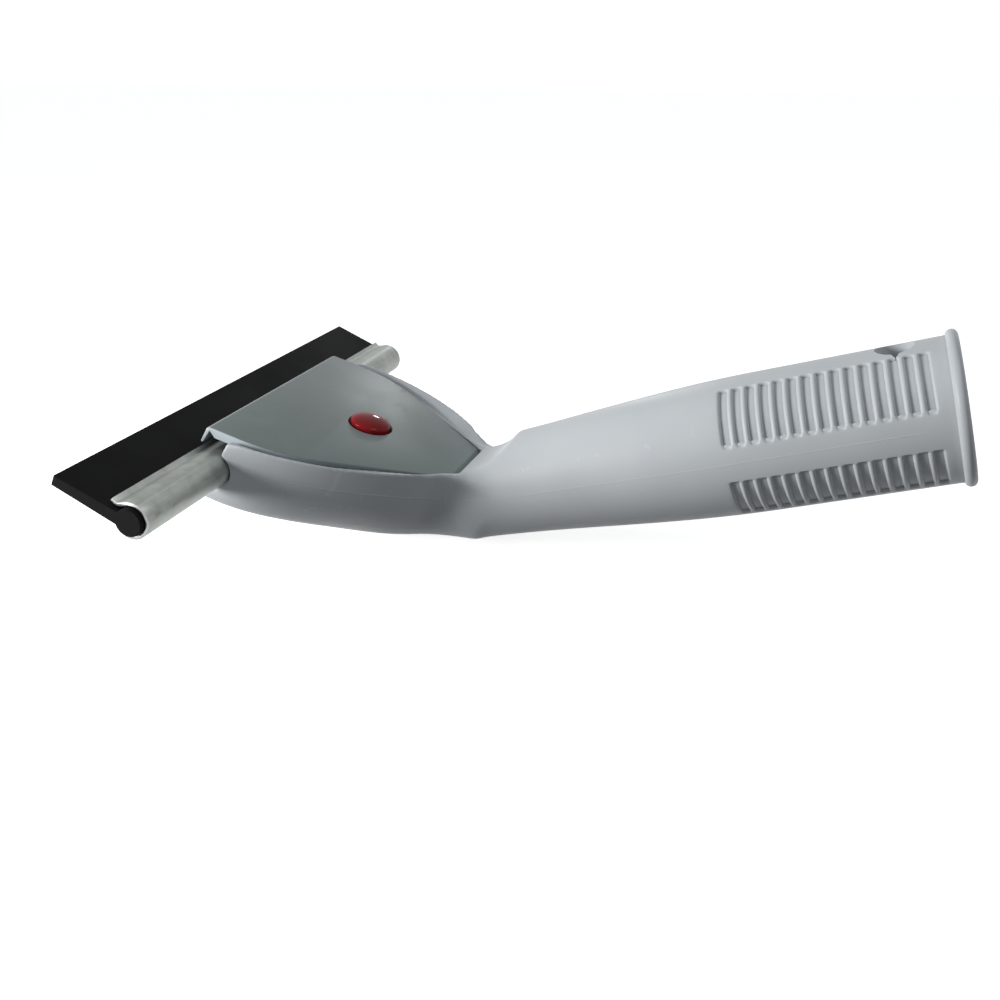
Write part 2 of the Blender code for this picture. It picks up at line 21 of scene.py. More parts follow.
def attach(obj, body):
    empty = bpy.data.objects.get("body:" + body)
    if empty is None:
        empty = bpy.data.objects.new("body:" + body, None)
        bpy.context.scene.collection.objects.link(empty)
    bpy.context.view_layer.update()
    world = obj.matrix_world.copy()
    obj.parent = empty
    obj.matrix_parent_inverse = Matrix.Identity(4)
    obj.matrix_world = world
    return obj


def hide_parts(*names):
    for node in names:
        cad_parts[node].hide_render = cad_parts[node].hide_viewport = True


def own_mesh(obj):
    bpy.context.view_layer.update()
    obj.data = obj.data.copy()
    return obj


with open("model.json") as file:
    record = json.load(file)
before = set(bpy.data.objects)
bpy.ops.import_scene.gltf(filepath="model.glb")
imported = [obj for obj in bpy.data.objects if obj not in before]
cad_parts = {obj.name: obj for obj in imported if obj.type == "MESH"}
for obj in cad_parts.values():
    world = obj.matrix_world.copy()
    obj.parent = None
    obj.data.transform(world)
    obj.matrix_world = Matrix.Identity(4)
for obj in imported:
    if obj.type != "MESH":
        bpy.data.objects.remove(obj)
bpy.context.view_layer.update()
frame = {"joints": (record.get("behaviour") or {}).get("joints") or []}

mm = 0.001

# %% [markdown]
# ## The blade frame
#
# The squeegee lies on its belly, so its blade is tilted in the room. Nothing on it is level,
# and every size would be a puzzle there. A mould maker measures from the blade instead:
# X along the channel, Y towards the handle, Z square to the rubber, zero in the rubber's bead.
# We do the same, and one matrix lays each finished piece down. The hinge of the clamp plate
# is known in both systems, so it ties them together.

# %% From the blade frame to the room
belly_tilt = math.radians(-24)
plate_tilt = math.radians(7.54)
plate_front = -6.5 * mm
plate_height = 8.7 * mm
hinge_place = 17 * mm
hinge_depth = 5.6 * mm


def plate_matrix(along, above):
    """A place on the clamp plate, measured along its top from the front edge and above its top."""
    turn = Matrix.Rotation(plate_tilt, 4, "X")
    return Matrix.Translation((0, plate_front, plate_height)) @ turn @ Matrix.Translation((0, along, above))


plate_joint = next(joint for joint in frame["joints"] if joint["name"] == "plate_rock")
tilt = Matrix.Rotation(belly_tilt, 4, "X")
hinge = plate_matrix(hinge_place, -hinge_depth)
lie = Matrix.Translation(Vector(plate_joint["pos_m"]) - tilt @ hinge.translation) @ tilt
print("the bead's middle lies at", [round(v / mm, 2) for v in lie.translation], "mm")

# %% [markdown]
# ## Small tools for making meshes
#
# Blender has an Add menu with cubes and cylinders, but a moulded tool is neither. Three old
# drawing office moves make all of its forms: a loft through cross-sections, a bar pulled
# from one outline, and a turned form. Each is closed, so that it can be joined and cut.

# %% Lofts, bars and turned forms
along_x = Matrix.Rotation(math.pi / 2, 4, "Y")


def spread(first, last, count):
    """Evenly spaced values, both ends included."""
    return [first + (last - first) * i / (count - 1) for i in range(count)]


def ring_turns(count):
    """Evenly spaced angles once round."""
    return [math.tau * i / count for i in range(count)]


def arc(centre, radius, turns):
    """Points of a circle at the given angles."""
    return [(centre[0] + radius * math.cos(turn), centre[1] + radius * math.sin(turn)) for turn in turns]


def laid(mesh, place):
    """The mesh, moved to its place."""
    mesh.transform(place)
    return mesh


def closed_mesh(name, rows):
    """A closed solid through rows of as many points, with flat ends."""
    count = len(rows[0])
    points = [point for row in rows for point in row]
    faces = []
    for r in range(len(rows) - 1):
        for i in range(count):
            j = (i + 1) % count
            faces.append((r * count + i, r * count + j, (r + 1) * count + j, (r + 1) * count + i))
    faces.append(tuple(range(count)))
    faces.append(tuple((len(rows) - 1) * count + i for i in range(count)))
    return outward_mesh(name, points, faces)


def outward_mesh(name, points, faces):
    """A mesh of these faces, all turned to look outward."""
    mesh = bpy.data.meshes.new(name)
    mesh.from_pydata(points, [], faces)
    bm = bmesh.new()
    bm.from_mesh(mesh)
    bmesh.ops.recalc_face_normals(bm, faces=bm.faces)
    bm.to_mesh(mesh)
    bm.free()
    return mesh


def bar(name, outline, low_x, high_x):
    """An outline of (y, z) points pulled along X."""
    return closed_mesh(name, [[(x, y, z) for y, z in outline] for x in (low_x, high_x)])


def prism(name, outline, low_z, high_z):
    """An outline of (x, y) points pulled along Z."""
    return closed_mesh(name, [[(x, y, z) for x, y in outline] for z in (low_z, high_z)])


def box_mesh(name, low, high):
    """A box between its lowest and its highest corner."""
    outline = [(low[0], low[1]), (high[0], low[1]), (high[0], high[1]), (low[0], high[1])]
    return prism(name, outline, low[2], high[2])


def turned(name, profile, steps):
    """A profile of (radius, height) points turned about Z. It starts and ends on the axis."""
    points = [(0, 0, profile[0][1]), (0, 0, profile[-1][1])]
    rings = profile[1:-1]
    for radius, height in rings:
        points += [(x, y, height) for x, y in arc((0, 0), radius, ring_turns(steps))]
    faces = []
    for i in range(steps):
        j = (i + 1) % steps
        faces.append((0, 2 + i, 2 + j))
        for r in range(len(rings) - 1):
            near, far = 2 + r * steps, 2 + (r + 1) * steps
            faces.append((near + i, near + j, far + j, far + i))
        last = 2 + (len(rings) - 1) * steps
        faces.append((1, last + j, last + i))
    return outward_mesh(name, points, faces)


def cylinder(name, radius, low, high, steps):
    """A turned form with a straight side, between two heights."""
    return turned(name, [(0, high), (radius, high), (radius, low), (0, low)], steps)


def quarter_round(centre, radius, start, steps):
    """Points on a quarter circle, anticlockwise from the angle start."""
    return arc(centre, radius, spread(start, start + math.pi / 2, steps + 1))


print("tools for lofts, bars and turned forms are ready")

# %% [markdown]
# ## Cutting, joining and softening
#
# Booleans join and cut the forms, as a mould is cut. They leave knife edges, which no moulded
# plastic has: the melt never quite fills a sharp corner. A bevel modifier fails on the tangled
# edges that Booleans leave, so we rebuild the skin in small even quads with a voxel remesh
# and let each point drift towards its neighbours. A few rounds of that give a real, tight radius,
# and many rounds with a soft mask give the large blend at the neck. Where a cut leaves points
# on top of each other, a weld makes them one.

# %% Joining, cutting, remeshing and relaxing
weld_reach = 0.003 * mm
full_pull = 0.5


def new_object(name, mesh, place=None):
    """An object in the scene, its mesh moved to its place first."""
    if place is not None:
        mesh.transform(place)
    ob = bpy.data.objects.new(name, mesh)
    bpy.context.scene.collection.objects.link(ob)
    return ob


def apply_modifiers(ob):
    graph = bpy.context.evaluated_depsgraph_get()
    mesh = bpy.data.meshes.new_from_object(ob.evaluated_get(graph))
    ob.modifiers.clear()
    ob.data = mesh


def combine(ob, tools, operation):
    """Join or cut with closed tools, which are used up."""
    made = [new_object("tool_form", tool) for tool in tools]
    for tool in made:
        boolean = ob.modifiers.new("boolean", "BOOLEAN")
        boolean.operation = operation
        boolean.solver = "MANIFOLD"
        boolean.object = tool
    apply_modifiers(ob)
    for tool in made:
        bpy.data.objects.remove(tool)


def count_open_edges(bm):
    return sum(not edge.is_manifold for edge in bm.edges)


def weld(ob):
    """Merges the points that cuts leave on top of each other, and counts edges left open."""
    bm = bmesh.new()
    bm.from_mesh(ob.data)
    bmesh.ops.remove_doubles(bm, verts=bm.verts, dist=weld_reach)
    bmesh.ops.dissolve_degenerate(bm, edges=bm.edges, dist=weld_reach)
    left = count_open_edges(bm)
    bm.to_mesh(ob.data)
    bm.free()
    return left


def remesh(ob, size):
    """Rebuilds the skin in even quads of this size."""
    skin = ob.modifiers.new("remesh", "REMESH")
    skin.mode = "VOXEL"
    skin.voxel_size = size
    apply_modifiers(ob)


def relax(ob, rounds, mask=None):
    """Each point drifts halfway to the mean of its neighbours, as far as the mask lets it."""
    mesh = ob.data
    points = np.empty(len(mesh.vertices) * 3)
    mesh.vertices.foreach_get("co", points)
    points = points.reshape(-1, 3)
    ends = np.empty(len(mesh.edges) * 2, dtype=np.int64)
    mesh.edges.foreach_get("vertices", ends)
    near = np.concatenate([ends[0::2], ends[1::2]])
    far = np.concatenate([ends[1::2], ends[0::2]])
    count = np.maximum(np.bincount(near, minlength=len(points)), 1)[:, None]
    pull = full_pull if mask is None else full_pull * mask(points)[:, None]
    for _ in range(rounds):
        sums = [np.bincount(near, points[far, axis], len(points)) for axis in range(3)]
        points += pull * (np.stack(sums, axis=1) / count - points)
    mesh.vertices.foreach_set("co", points.ravel())
    mesh.update()


def soft_step(values, low, high):
    """0 up to low, 1 from high on, a soft rise between them."""
    share = np.clip((values - low) / (high - low), 0, 1)
    return share * share * (3 - 2 * share)


def hump(values, start, full, still_full, end):
    """A soft rise to 1 and a soft fall back to 0."""
    return soft_step(values, start, full) * (1 - soft_step(values, still_full, end))


def smooth(mesh, crease_degrees):
    """Rounded shading, with a crease at every edge that turns by more than this."""
    mesh.shade_smooth()
    mesh.set_sharp_from_angle(angle=math.radians(crease_degrees))


print("tools for joining, cutting and softening are ready")

# %% [markdown]
# ## The cradle and the handle
#
# On the real tool the cradle and the handle are one hollow moulding. Seen from above the cradle
# has a straight front, two long arcs and a hollow fillet into the neck; its sections change
# from nearly square in front to round at the rear. So we loft it through many sections, each
# a superellipse below the mould seam and a straight wall above it. The rim has a low crest along
# its outer edge and slants from there down to the clamp plate. The handle is a turned form on an
# axis that slopes up from the blade.

# %% Sizes of the cradle
cradle_half_width = 40.5 * mm
side_radius = 67 * mm
side_start = -1 * mm
neck_half_width = 13.2 * mm
neck_fillet = 14 * mm
neck_end = 65.4 * mm
cradle_front = -6 * mm
rim_height = 8.3 * mm
rim_slope = math.radians(10.4)
seam_drop = 5.3 * mm
crest_rise = 0.9 * mm
crest_zone = (-1 * mm, 6 * mm)
crest_gain = 0.2
crest_gain_zone = (44 * mm, 56 * mm)
front_round = 1.2 * mm
crest_round = 0.45 * mm
round_zone = (-4 * mm, 6 * mm)
rim_steps = 6
lean_step = 0.5 * mm
rim_slant_width = 3.2 * mm
rim_foot_drop = 1.1 * mm
foot_zone = (0, 18 * mm, 46 * mm, 54 * mm)
rim_spare = 4 * mm
spare_end = 46.5 * mm
spare_fade = 3 * mm
lid_end = 48 * mm
lid_rise = ((1.5 * mm, 0.1 * mm), (3 * mm, 0.5 * mm), (4.5 * mm, 2 * mm), (6 * mm, 8 * mm))
keel_start = 48 * mm
keel_depth = 8.1 * mm
keel_crown = 0.5 * mm
belly_radius = 55 * mm
front_rise = math.radians(6)
front_squareness = 8.0
rear_squareness = 2.1
squareness_fade = 2.8
squareness_length = 42 * mm
wall = 2.7 * mm


def cradle_half_width_at(y):
    """Straight front, one long arc, then a hollow fillet into the neck."""
    arc_x = cradle_half_width - side_radius
    fillet_x = neck_half_width + neck_fillet
    reach = side_radius + neck_fillet
    fillet_y = side_start + math.sqrt(reach ** 2 - (fillet_x - arc_x) ** 2)
    touch_y = side_start + (fillet_y - side_start) * side_radius / reach
    if y < side_start:
        return cradle_half_width
    if y < touch_y:
        return arc_x + math.sqrt(side_radius ** 2 - (y - side_start) ** 2)
    if y < fillet_y:
        return fillet_x - math.sqrt(neck_fillet ** 2 - (fillet_y - y) ** 2)
    return neck_half_width


def belly_at(y):
    """A straight keel at the rear, an arc under the cradle, a gentle rise in front."""
    keel = -belly_tilt
    crown = -keel_depth - keel_crown
    low_y = keel_start - belly_radius * math.sin(keel)
    low_z = crown - belly_radius * (1 - math.cos(keel))
    rise_y = low_y - belly_radius * math.sin(front_rise)
    rise_z = low_z + belly_radius * (1 - math.cos(front_rise))
    if y > keel_start:
        return crown + (y - keel_start) * math.tan(keel)
    if y > rise_y:
        return low_z + belly_radius - math.sqrt(belly_radius ** 2 - (y - low_y) ** 2)
    return rise_z + (rise_y - y) * math.tan(front_rise)


def rim_at(y):
    return rim_height + y * math.tan(rim_slope)


def crest_at(y):
    """The rim's outer crest: level with the plate in front, proud of it further back."""
    share = 1 + crest_gain * float(soft_step(y, *crest_gain_zone))
    return rim_at(y) + crest_rise * share * float(soft_step(y, *crest_zone))


def rim_line(y, half, lift=0.0):
    """Half of the rim as (x, z) points: rounded outer edge, crest and the slant down to the plate."""
    ahead, behind = cradle_half_width_at(y + lean_step), cradle_half_width_at(y - lean_step)
    width = rim_slant_width * math.hypot(1, (ahead - behind) / (2 * lean_step))
    edge = front_round + (crest_round - front_round) * float(soft_step(y, *round_zone))
    top = crest_at(y) + lift
    foot = rim_at(y) + lift - rim_foot_drop * float(hump(y, *foot_zone))
    return quarter_round((half - edge, top - edge), edge, 0, rim_steps) + [(half - width, foot)]


print("cradle is", round(2 * cradle_half_width / mm, 1), "mm wide and its belly hangs",
      round(-belly_at(20 * mm) / mm, 1), "mm below the blade")

# %% Sections of the cradle
section_steps = 96
front_sections = 70
rear_sections = 30
above_all = 30 * mm


def cradle_section(y, inset=0.0):
    """One cross-section, with spare height to cut away, or with an inset the open hollow."""
    half = cradle_half_width_at(y) - inset
    rim = rim_at(y)
    seam = rim - seam_drop
    depth = seam - belly_at(y) - inset
    fade = min(max(1 - y / squareness_length, 0), 1) ** squareness_fade
    power = 2 / (rear_squareness + (front_squareness - rear_squareness) * fade)
    section = []
    for i in range(section_steps + 1):
        angle = math.pi * i / section_steps
        across = math.cos(angle)
        x = half * math.copysign(abs(across) ** power, across)
        section.append((x, y, seam - depth * math.sin(angle) ** power))
    if inset:
        return section + [(-half, y, rim + above_all), (half, y, rim + above_all)]
    line = rim_line(y, half, rim_spare * min(max((spare_end - y) / spare_fade, 0), 1))
    return section + [(-x, y, z) for x, z in line] + [(x, y, z) for x, z in reversed(line)]


cradle_stations = spread(cradle_front, keel_start, front_sections)
cradle_stations += spread(keel_start, neck_end, rear_sections)[1:]
cradle_mesh = closed_mesh("cradle", [cradle_section(y) for y in cradle_stations])
print("cradle loft:", len(cradle_mesh.vertices), "points in", len(cradle_stations), "sections")

# %% The handle as a turned form
handle_foot = 45.2 * mm
handle_slope = math.radians(40.2)
handle_reach = 142.7 * mm
grip_radius = 17.5 * mm
neck_radius = 13.3 * mm
grip_length = 46 * mm
taper_length = 86 * mm
nose_height = 15.7 * mm
grip_join = 61 * mm
join_spare = 8 * mm
taper_steps = 60
turn_steps = 160
handle_place = Matrix.Translation((0, handle_foot, 0)) @ Matrix.Rotation(handle_slope - math.pi / 2, 4, "X")


def handle_radius(from_end):
    """The plain outside of the handle, at a distance from its end."""
    share = min(max((from_end - grip_length) / taper_length, 0), 1)
    return neck_radius + (grip_radius - neck_radius) * (1 + math.cos(math.pi * share)) / 2


def handle_profile():
    """The taper from the neck up into the grip, a little longer than it will be kept."""
    last = grip_join - join_spare
    places = spread(last, handle_reach - nose_height, taper_steps)
    profile = [(handle_radius(along), handle_reach - along) for along in places]
    return [(0, handle_reach - last)] + profile + [(0, nose_height)]


handle_mesh = laid(turned("handle_form", handle_profile(), turn_steps), handle_place)
print("handle form:", len(handle_mesh.vertices), "points")

# %% [markdown]
# ## The soft neck and the scoop
#
# Where the handle grows out of the cradle the plastic flows in one soft crease, and behind the
# clamp plate a thumb-sized scoop rises to the handle's top with a soft crest. A fillet tool
# needs a clean edge to follow. Relaxing a remeshed skin under a mask needs none.

# %% Join cradle and handle, soften the neck
coarse_voxel = 0.6 * mm
neck_rounds = 24
neck_zone = (49 * mm, 55 * mm, 66 * mm, 76 * mm)


def neck_mask(points):
    return hump(points[:, 1], *neck_zone)


body = new_object("cradle_and_handle", cradle_mesh)
combine(body, [handle_mesh], "UNION")
remesh(body, coarse_voxel)
relax(body, neck_rounds, neck_mask)
print("neck softened on", len(body.data.vertices), "points")

# %% Cut the scoop and soften its crest
plate_length = 60 * mm
scoop_radius = 18 * mm
scoop_angle = math.radians(62)
scoop_length = 18 * mm
scoop_steps = 40
scoop_reach = 24 * mm
crest_voxel = 0.5 * mm
crest_rounds = 14
crest_soft_zone = (52 * mm, 56 * mm, 70 * mm, 76 * mm)
crest_soft_rise = (-2 * mm, 0.5 * mm)
fit_gap = 0.3 * mm
overrun = 6 * mm
clear_reach = 60 * mm


def scoop_mesh():
    """A hollow slope from just over the rim, behind the plate, up to the handle's top."""
    foot = plate_matrix(plate_length, 0).translation
    foot.z = rim_at(foot.y) + fit_gap
    chord = Vector((0, math.cos(scoop_angle), math.sin(scoop_angle)))
    square = Vector((0, -math.sin(scoop_angle), math.cos(scoop_angle)))
    half_sweep = math.asin(scoop_length / 2 / scoop_radius)
    centre = foot + chord * scoop_length / 2 + square * scoop_radius * math.cos(half_sweep)
    outline = []
    for i in range(scoop_steps + 1):
        turn = half_sweep * (2 * i / scoop_steps - 1)
        point = centre + (chord * math.sin(turn) - square * math.cos(turn)) * scoop_radius
        outline.append((point.y, point.z))
    front = foot.y - overrun
    outline += [(outline[-1][0], clear_reach), (front, clear_reach), (front, foot.z)]
    return bar("scoop_form", outline, -scoop_reach, scoop_reach)


def crest_mask(points):
    y, z = points[:, 1], points[:, 2]
    return hump(y, *crest_soft_zone) * soft_step(z - rim_at(y), *crest_soft_rise)


combine(body, [scoop_mesh()], "DIFFERENCE")
remesh(body, crest_voxel)
relax(body, crest_rounds, crest_mask)
print("scoop cut, crest softened on", len(body.data.vertices), "points")

# %% [markdown]
# ## What is cut out of the moulding
#
# The remeshed rim is blurred, so it was left too high, and a lid lofted along the rim's own line
# cuts it crisp. From above a recess takes the clamp plate, and under it the cradle is hollow. In
# front a half-round seat takes the steel channel. The handle is bored from its end to slip over a
# pole, with a round hole to hang it by. Each cutter is a closed form of its own, so the recipe
# can be read line by line and any cut can be changed alone.

# %% Outline of the clamp plate and its recess
rim_width = 3.3 * mm
plate_gap = 0.6 * mm
plate_thickness = 2.6 * mm
recess_room = 1.5 * mm
plate_corner_radius = 37 * mm
plate_taper = math.radians(33.7)
plate_taper_start = 20.8 * mm
corner_steps = 24
plate_growth = 0.3 * mm
room_growth = 0.3 * mm
plate_half_width = cradle_half_width - rim_width - plate_gap
recess_margin = plate_gap + room_growth


def plate_outline(margin, front):
    """The plate's outline as (x, along) points, grown by a margin, and further at the front."""
    centre_x = plate_half_width - plate_corner_radius
    centre_along = plate_taper_start - plate_corner_radius * math.tan(plate_taper / 2)
    corner = arc((centre_x, centre_along), plate_corner_radius + margin,
                 spread(0, plate_taper, corner_steps + 1))
    last_x, last_along = corner[-1]
    tail = plate_length + margin
    tail_x = last_x - (tail - last_along) * math.tan(plate_taper)
    half = [(plate_half_width + margin, -front)] + corner + [(tail_x, tail)]
    return half + [(-x, along) for x, along in reversed(half)]


def plate_prism(name, margin, front, low, high):
    """The plate's outline between two depths under its top, in the blade frame."""
    return laid(prism(name, plate_outline(margin, front), low, high), plate_matrix(0, 0))


print("plate is", round(2 * plate_half_width / mm, 1), "mm wide in front")

# %% Cutters for the recess, the hollow and the front
curl_radius = 4.6 * mm
seat_wall = 2.4 * mm
seat_top = 4.0 * mm
seat_gap = 0.5 * mm
front_top = 1.5 * mm
front_lean = math.radians(7)
lid_slip = 0.04 * mm
lid_sections = 90
hollow_sections = 50


def hollow_mesh():
    """The cradle's inside: what lies under the plate and within the walls."""
    front = curl_radius + fit_gap + seat_wall
    rear = plate_matrix(plate_length, 0).translation.y + overrun
    sections = [cradle_section(y, wall) for y in spread(front, rear, hollow_sections)]
    hollow = new_object("hollow_form", closed_mesh("hollow_form", sections))
    below = plate_prism("under_plate_form", recess_margin, fit_gap, -clear_reach, overrun)
    combine(hollow, [below], "INTERSECT")
    mesh = hollow.data
    bpy.data.objects.remove(hollow)
    return mesh


def front_mesh():
    """Everything in front of the cradle's front face, which leans back a little."""
    mesh = box_mesh("front_form", (-clear_reach,) * 3, (clear_reach, 0, clear_reach))
    foot = front_top - rim_height * math.tan(front_lean)
    return laid(mesh, Matrix.Translation((0, foot, 0)) @ Matrix.Rotation(-front_lean, 4, "X"))


def keel_mesh():
    """Everything below the flat that the squeegee rests on."""
    mesh = box_mesh("keel_form", (-clear_reach,) * 3, (clear_reach, clear_reach, 0))
    place = Matrix.Translation((0, keel_start, -keel_depth))
    return laid(mesh, place @ Matrix.Rotation(-belly_tilt, 4, "X"))


def lid_mesh():
    """Everything above the rim, lofted along it, and lifted clear of the neck at its end."""
    places = [(cradle_front - overrun, 0.0)]
    places += [(y, 0.0) for y in spread(cradle_front, lid_end, lid_sections)]
    places += [(lid_end + on, up) for on, up in lid_rise]
    rows = []
    for y, lift in places:
        line = rim_line(y, cradle_half_width_at(y) + lid_slip, lift)
        under = [(clear_reach, line[0][1])] + line
        row = [(-x, y, z) for x, z in under] + [(x, y, z) for x, z in reversed(under)]
        rows.append(row + [(clear_reach, y, clear_reach), (-clear_reach, y, clear_reach)])
    return closed_mesh("lid_form", rows)


def seat_mesh():
    """The half-round seat of the channel, right across the front."""
    reach = cradle_half_width + overrun
    return laid(cylinder("seat_form", curl_radius + seat_gap, -reach, reach, turn_steps), along_x)


recess_mesh = plate_prism("plate_room_form", recess_margin, plate_gap,
                          -plate_thickness - recess_room, overrun)
bay_rear = curl_radius + fit_gap + seat_wall + overrun
bay_mesh = box_mesh("bay_form", (-plate_half_width, -clear_reach, seat_top),
                    (plate_half_width, bay_rear, clear_reach))
combine(body, [lid_mesh()], "DIFFERENCE")
combine(body, [hollow_mesh(), recess_mesh, bay_mesh, front_mesh(), keel_mesh(), seat_mesh()], "DIFFERENCE")
print("lid, recess, hollow, front and seat cut:", len(body.data.vertices), "points")

# %% [markdown]
# ## The mechanism's seats
#
# Two posts rise from the cradle's floor to carry the cross pin, and a round cup holds the
# button's spring. They hide under the plate, but they show when the plate is tipped or the
# part is taken apart, so they are here in full.

# %% Posts, cup and bores
pin_radius = 1.0 * mm
ear_radius = 2.6 * mm
ear_width = 4 * mm
ear_spread = 14.5 * mm
post_width = 4 * mm
post_depth = 7 * mm
button_place = 30 * mm
boss_radius = 8.4 * mm
boss_height = 1.7 * mm
rock_gap = 0.6 * mm
washer_thickness = 0.6 * mm
spring_length = 12 * mm
spring_radius = 3.6 * mm
spring_wire = 0.6 * mm
spring_clearance = 0.6 * mm
stem_radius = 2.5 * mm
stem_clearance = 0.5 * mm
cup_radius = 6.4 * mm
cup_rise = 2.6 * mm
cup_floor = 3 * mm
stem_overlap = 1.8 * mm
post_place = ear_spread + ear_width / 2 + fit_gap + post_width / 2
spring_top = plate_thickness + boss_height + rock_gap + washer_thickness + fit_gap
cup_bottom = spring_top + spring_length + fit_gap
button_axis = plate_matrix(button_place, 0)
pin_bore_steps = 48
round_steps = 96


def cross_bore(name, half):
    """A bore for the pin, along X through the hinge."""
    return laid(cylinder(name, pin_radius + fit_gap, -half, half, pin_bore_steps), hinge @ along_x)


def post_mesh(x):
    """A post from inside the cradle's floor to just under the plate."""
    root = hinge.translation.z - belly_at(hinge.translation.y) - wall / 2
    top = hinge_depth - plate_thickness - plate_gap
    low = (x - post_width / 2, -post_depth / 2, -root)
    return laid(box_mesh("post_form", low, (x + post_width / 2, post_depth / 2, top)), hinge)


def cup_mesh():
    """The cup under the button, from below its floor to above the spring's foot."""
    low = -(cup_bottom + cup_floor + stem_overlap)
    return laid(cylinder("cup_form", cup_radius, low, cup_rise - cup_bottom, round_steps), button_axis)


def cup_bore_mesh():
    """A stepped hole: wide for the spring, narrow for the button's stem."""
    wide = spring_radius + spring_wire / 2 + spring_clearance
    narrow = stem_radius + stem_clearance
    foot = -cup_bottom - cup_floor
    profile = [(0, overrun - cup_bottom), (wide, overrun - cup_bottom), (wide, -cup_bottom),
               (narrow, -cup_bottom), (narrow, foot), (0, foot)]
    return laid(turned("cup_bore_form", profile, round_steps), button_axis)


combine(body, [post_mesh(-post_place), post_mesh(post_place), cup_mesh()], "UNION")
pin_reach = post_place + post_width / 2
combine(body, [cup_bore_mesh(), cross_bore("pin_bore_form", pin_reach + overrun)], "DIFFERENCE")
print("posts stand", round(2 * post_place / mm, 1), "mm apart")

# %% [markdown]
# ## The grip
#
# The grip has two panels of fifteen shallow pockets on each flank, with half-round ribs between
# them, and a round roll at its end. They could be a bump in the material, but a bump has no
# outline and the ribs show against the light. A remeshed skin would blur them. So the last part
# of the handle is a grid of its own: rows follow each rib's curve, columns crowd where the
# pockets end, and the depth at each crossing comes from two short formulas.

# %% Depth of the pockets
pocket_count = 15
pocket_pitch = 3.3 * mm
rib_first = 5.1 * mm
rib_half = 0.75 * mm
pocket_depth = 0.75 * mm
wall_turn = math.radians(1.6)
ramp_turn = math.radians(3.4)
ramp_share = 0.35
upper_panel = (math.radians(17.5), math.radians(70.5))
lower_panel = (math.radians(-56.5), math.radians(-11.7))


def round_edge(share):
    """The depth of a quarter circle, 0 to 1, at a share of its reach."""
    return 1 - math.sqrt(max(1 - share ** 2, 0))


def rib_share(from_end):
    """0 on the crest of a rib or outside the panel, 1 on a pocket's floor."""
    place = (from_end - rib_first) / pocket_pitch
    if place < 0 or place > pocket_count:
        return 0.0
    return round_edge(abs(place - round(place)) * pocket_pitch / rib_half)


def panel_share(turn):
    """1 well inside a panel, a round edge at its top, a round edge and a ramp at its bottom."""
    most = 0.0
    for low, high in (upper_panel, lower_panel):
        under, over = turn - low, high - turn
        if over <= 0 or under <= -ramp_turn:
            continue
        if under < 0:
            foot = ramp_share * (1 + under / ramp_turn) ** 2
        else:
            foot = ramp_share + (1 - ramp_share) * round_edge(under / wall_turn)
        most = max(most, min(round_edge(over / wall_turn), foot))
    return most


floor_depth = pocket_depth * rib_share(rib_first + pocket_pitch / 2)
print("pocket floor lies", round(floor_depth / mm, 2), "mm deep")

# %% Rows and columns of the grip
roll_radius = 1.5 * mm
roll_centre = 17.2 * mm
roll_steps = 16
roll_turn = math.radians(166)
end_stand = 0.9 * mm
end_lean = 0.4 * mm
stand_start = 3.2 * mm
stand_end = 5.05 * mm
stand_rows = (3.4 * mm, 4.2 * mm)
rib_row_degrees = 15
join_rows = 10
column_turn = math.pi / 82
least_turn = math.radians(0.2)
edge_turns = (-3.4, -2.4, -1.5, -0.8, -0.3, 0, 0.25, 0.6, 1.0, 1.35, 1.6, 2.2)


def grip_rows():
    """Places along the grip from its end, with the radius of the plain skin at each."""
    rows = []
    for angle in spread(0, roll_turn, roll_steps + 1):
        radius = roll_centre + roll_radius * math.sin(angle)
        rows.append((roll_radius * (1 - math.cos(angle)), radius))
    places = list(stand_rows)
    for i in range(pocket_count + 1):
        middle = rib_first + pocket_pitch * i
        first = 0 if i == 0 else -90
        last = 0 if i == pocket_count else 90
        for degrees in np.arange(first, last + 1, rib_row_degrees):
            places.append(middle + rib_half * math.sin(math.radians(degrees)))
        if i < pocket_count:
            places.append(middle + pocket_pitch / 2)
    places += spread(places[-1], grip_join - fit_gap, join_rows)[1:]
    return rows + [(place, handle_radius(place)) for place in places]


def grip_columns():
    """Angles round the grip from the right flank, crowded where the pockets begin and end."""
    turns = list(np.arange(-math.pi / 2, math.pi / 2 + column_turn / 2, column_turn))
    for low, high in (upper_panel, lower_panel):
        turns += [low + math.radians(step) for step in edge_turns]
        turns += [high - math.radians(step) for step in edge_turns]
    turns = sorted(turns)
    kept = [turns[0]]
    for turn in turns[1:]:
        if turn - kept[-1] > least_turn:
            kept.append(turn)
    return kept + [math.pi - turn for turn in reversed(kept[1:-1])]


rows, columns = grip_rows(), grip_columns()
print("grip grid:", len(rows), "rows by", len(columns), "columns")

# %% The grip's skin


def grip_point(from_end, radius, turn):
    """A point of the grip's skin, sunk where a pocket is and raised towards the roll."""
    lift = math.sin(turn)
    flank = math.asin(max(-1, min(1, lift)))
    radius -= pocket_depth * rib_share(from_end) * panel_share(flank)
    fade = 1 - float(soft_step(from_end, stand_start, stand_end))
    along = handle_reach - from_end + (end_stand + end_lean * lift) * fade
    return handle_place @ Vector((radius * math.cos(turn), -radius * lift, along))


def grip_mesh():
    """An open skin from the roll to the join, closed at the roll's end."""
    count = len(columns)
    points = [grip_point(from_end, radius, turn) for from_end, radius in rows for turn in columns]
    faces = []
    for r in range(len(rows) - 1):
        for i in range(count):
            j = (i + 1) % count
            faces.append((r * count + i, (r + 1) * count + i, (r + 1) * count + j, r * count + j))
    faces.append(tuple(range(count)))
    return outward_mesh("grip_skin", points, faces)


grip_skin = grip_mesh()
print("grip skin:", len(grip_skin.polygons), "faces")

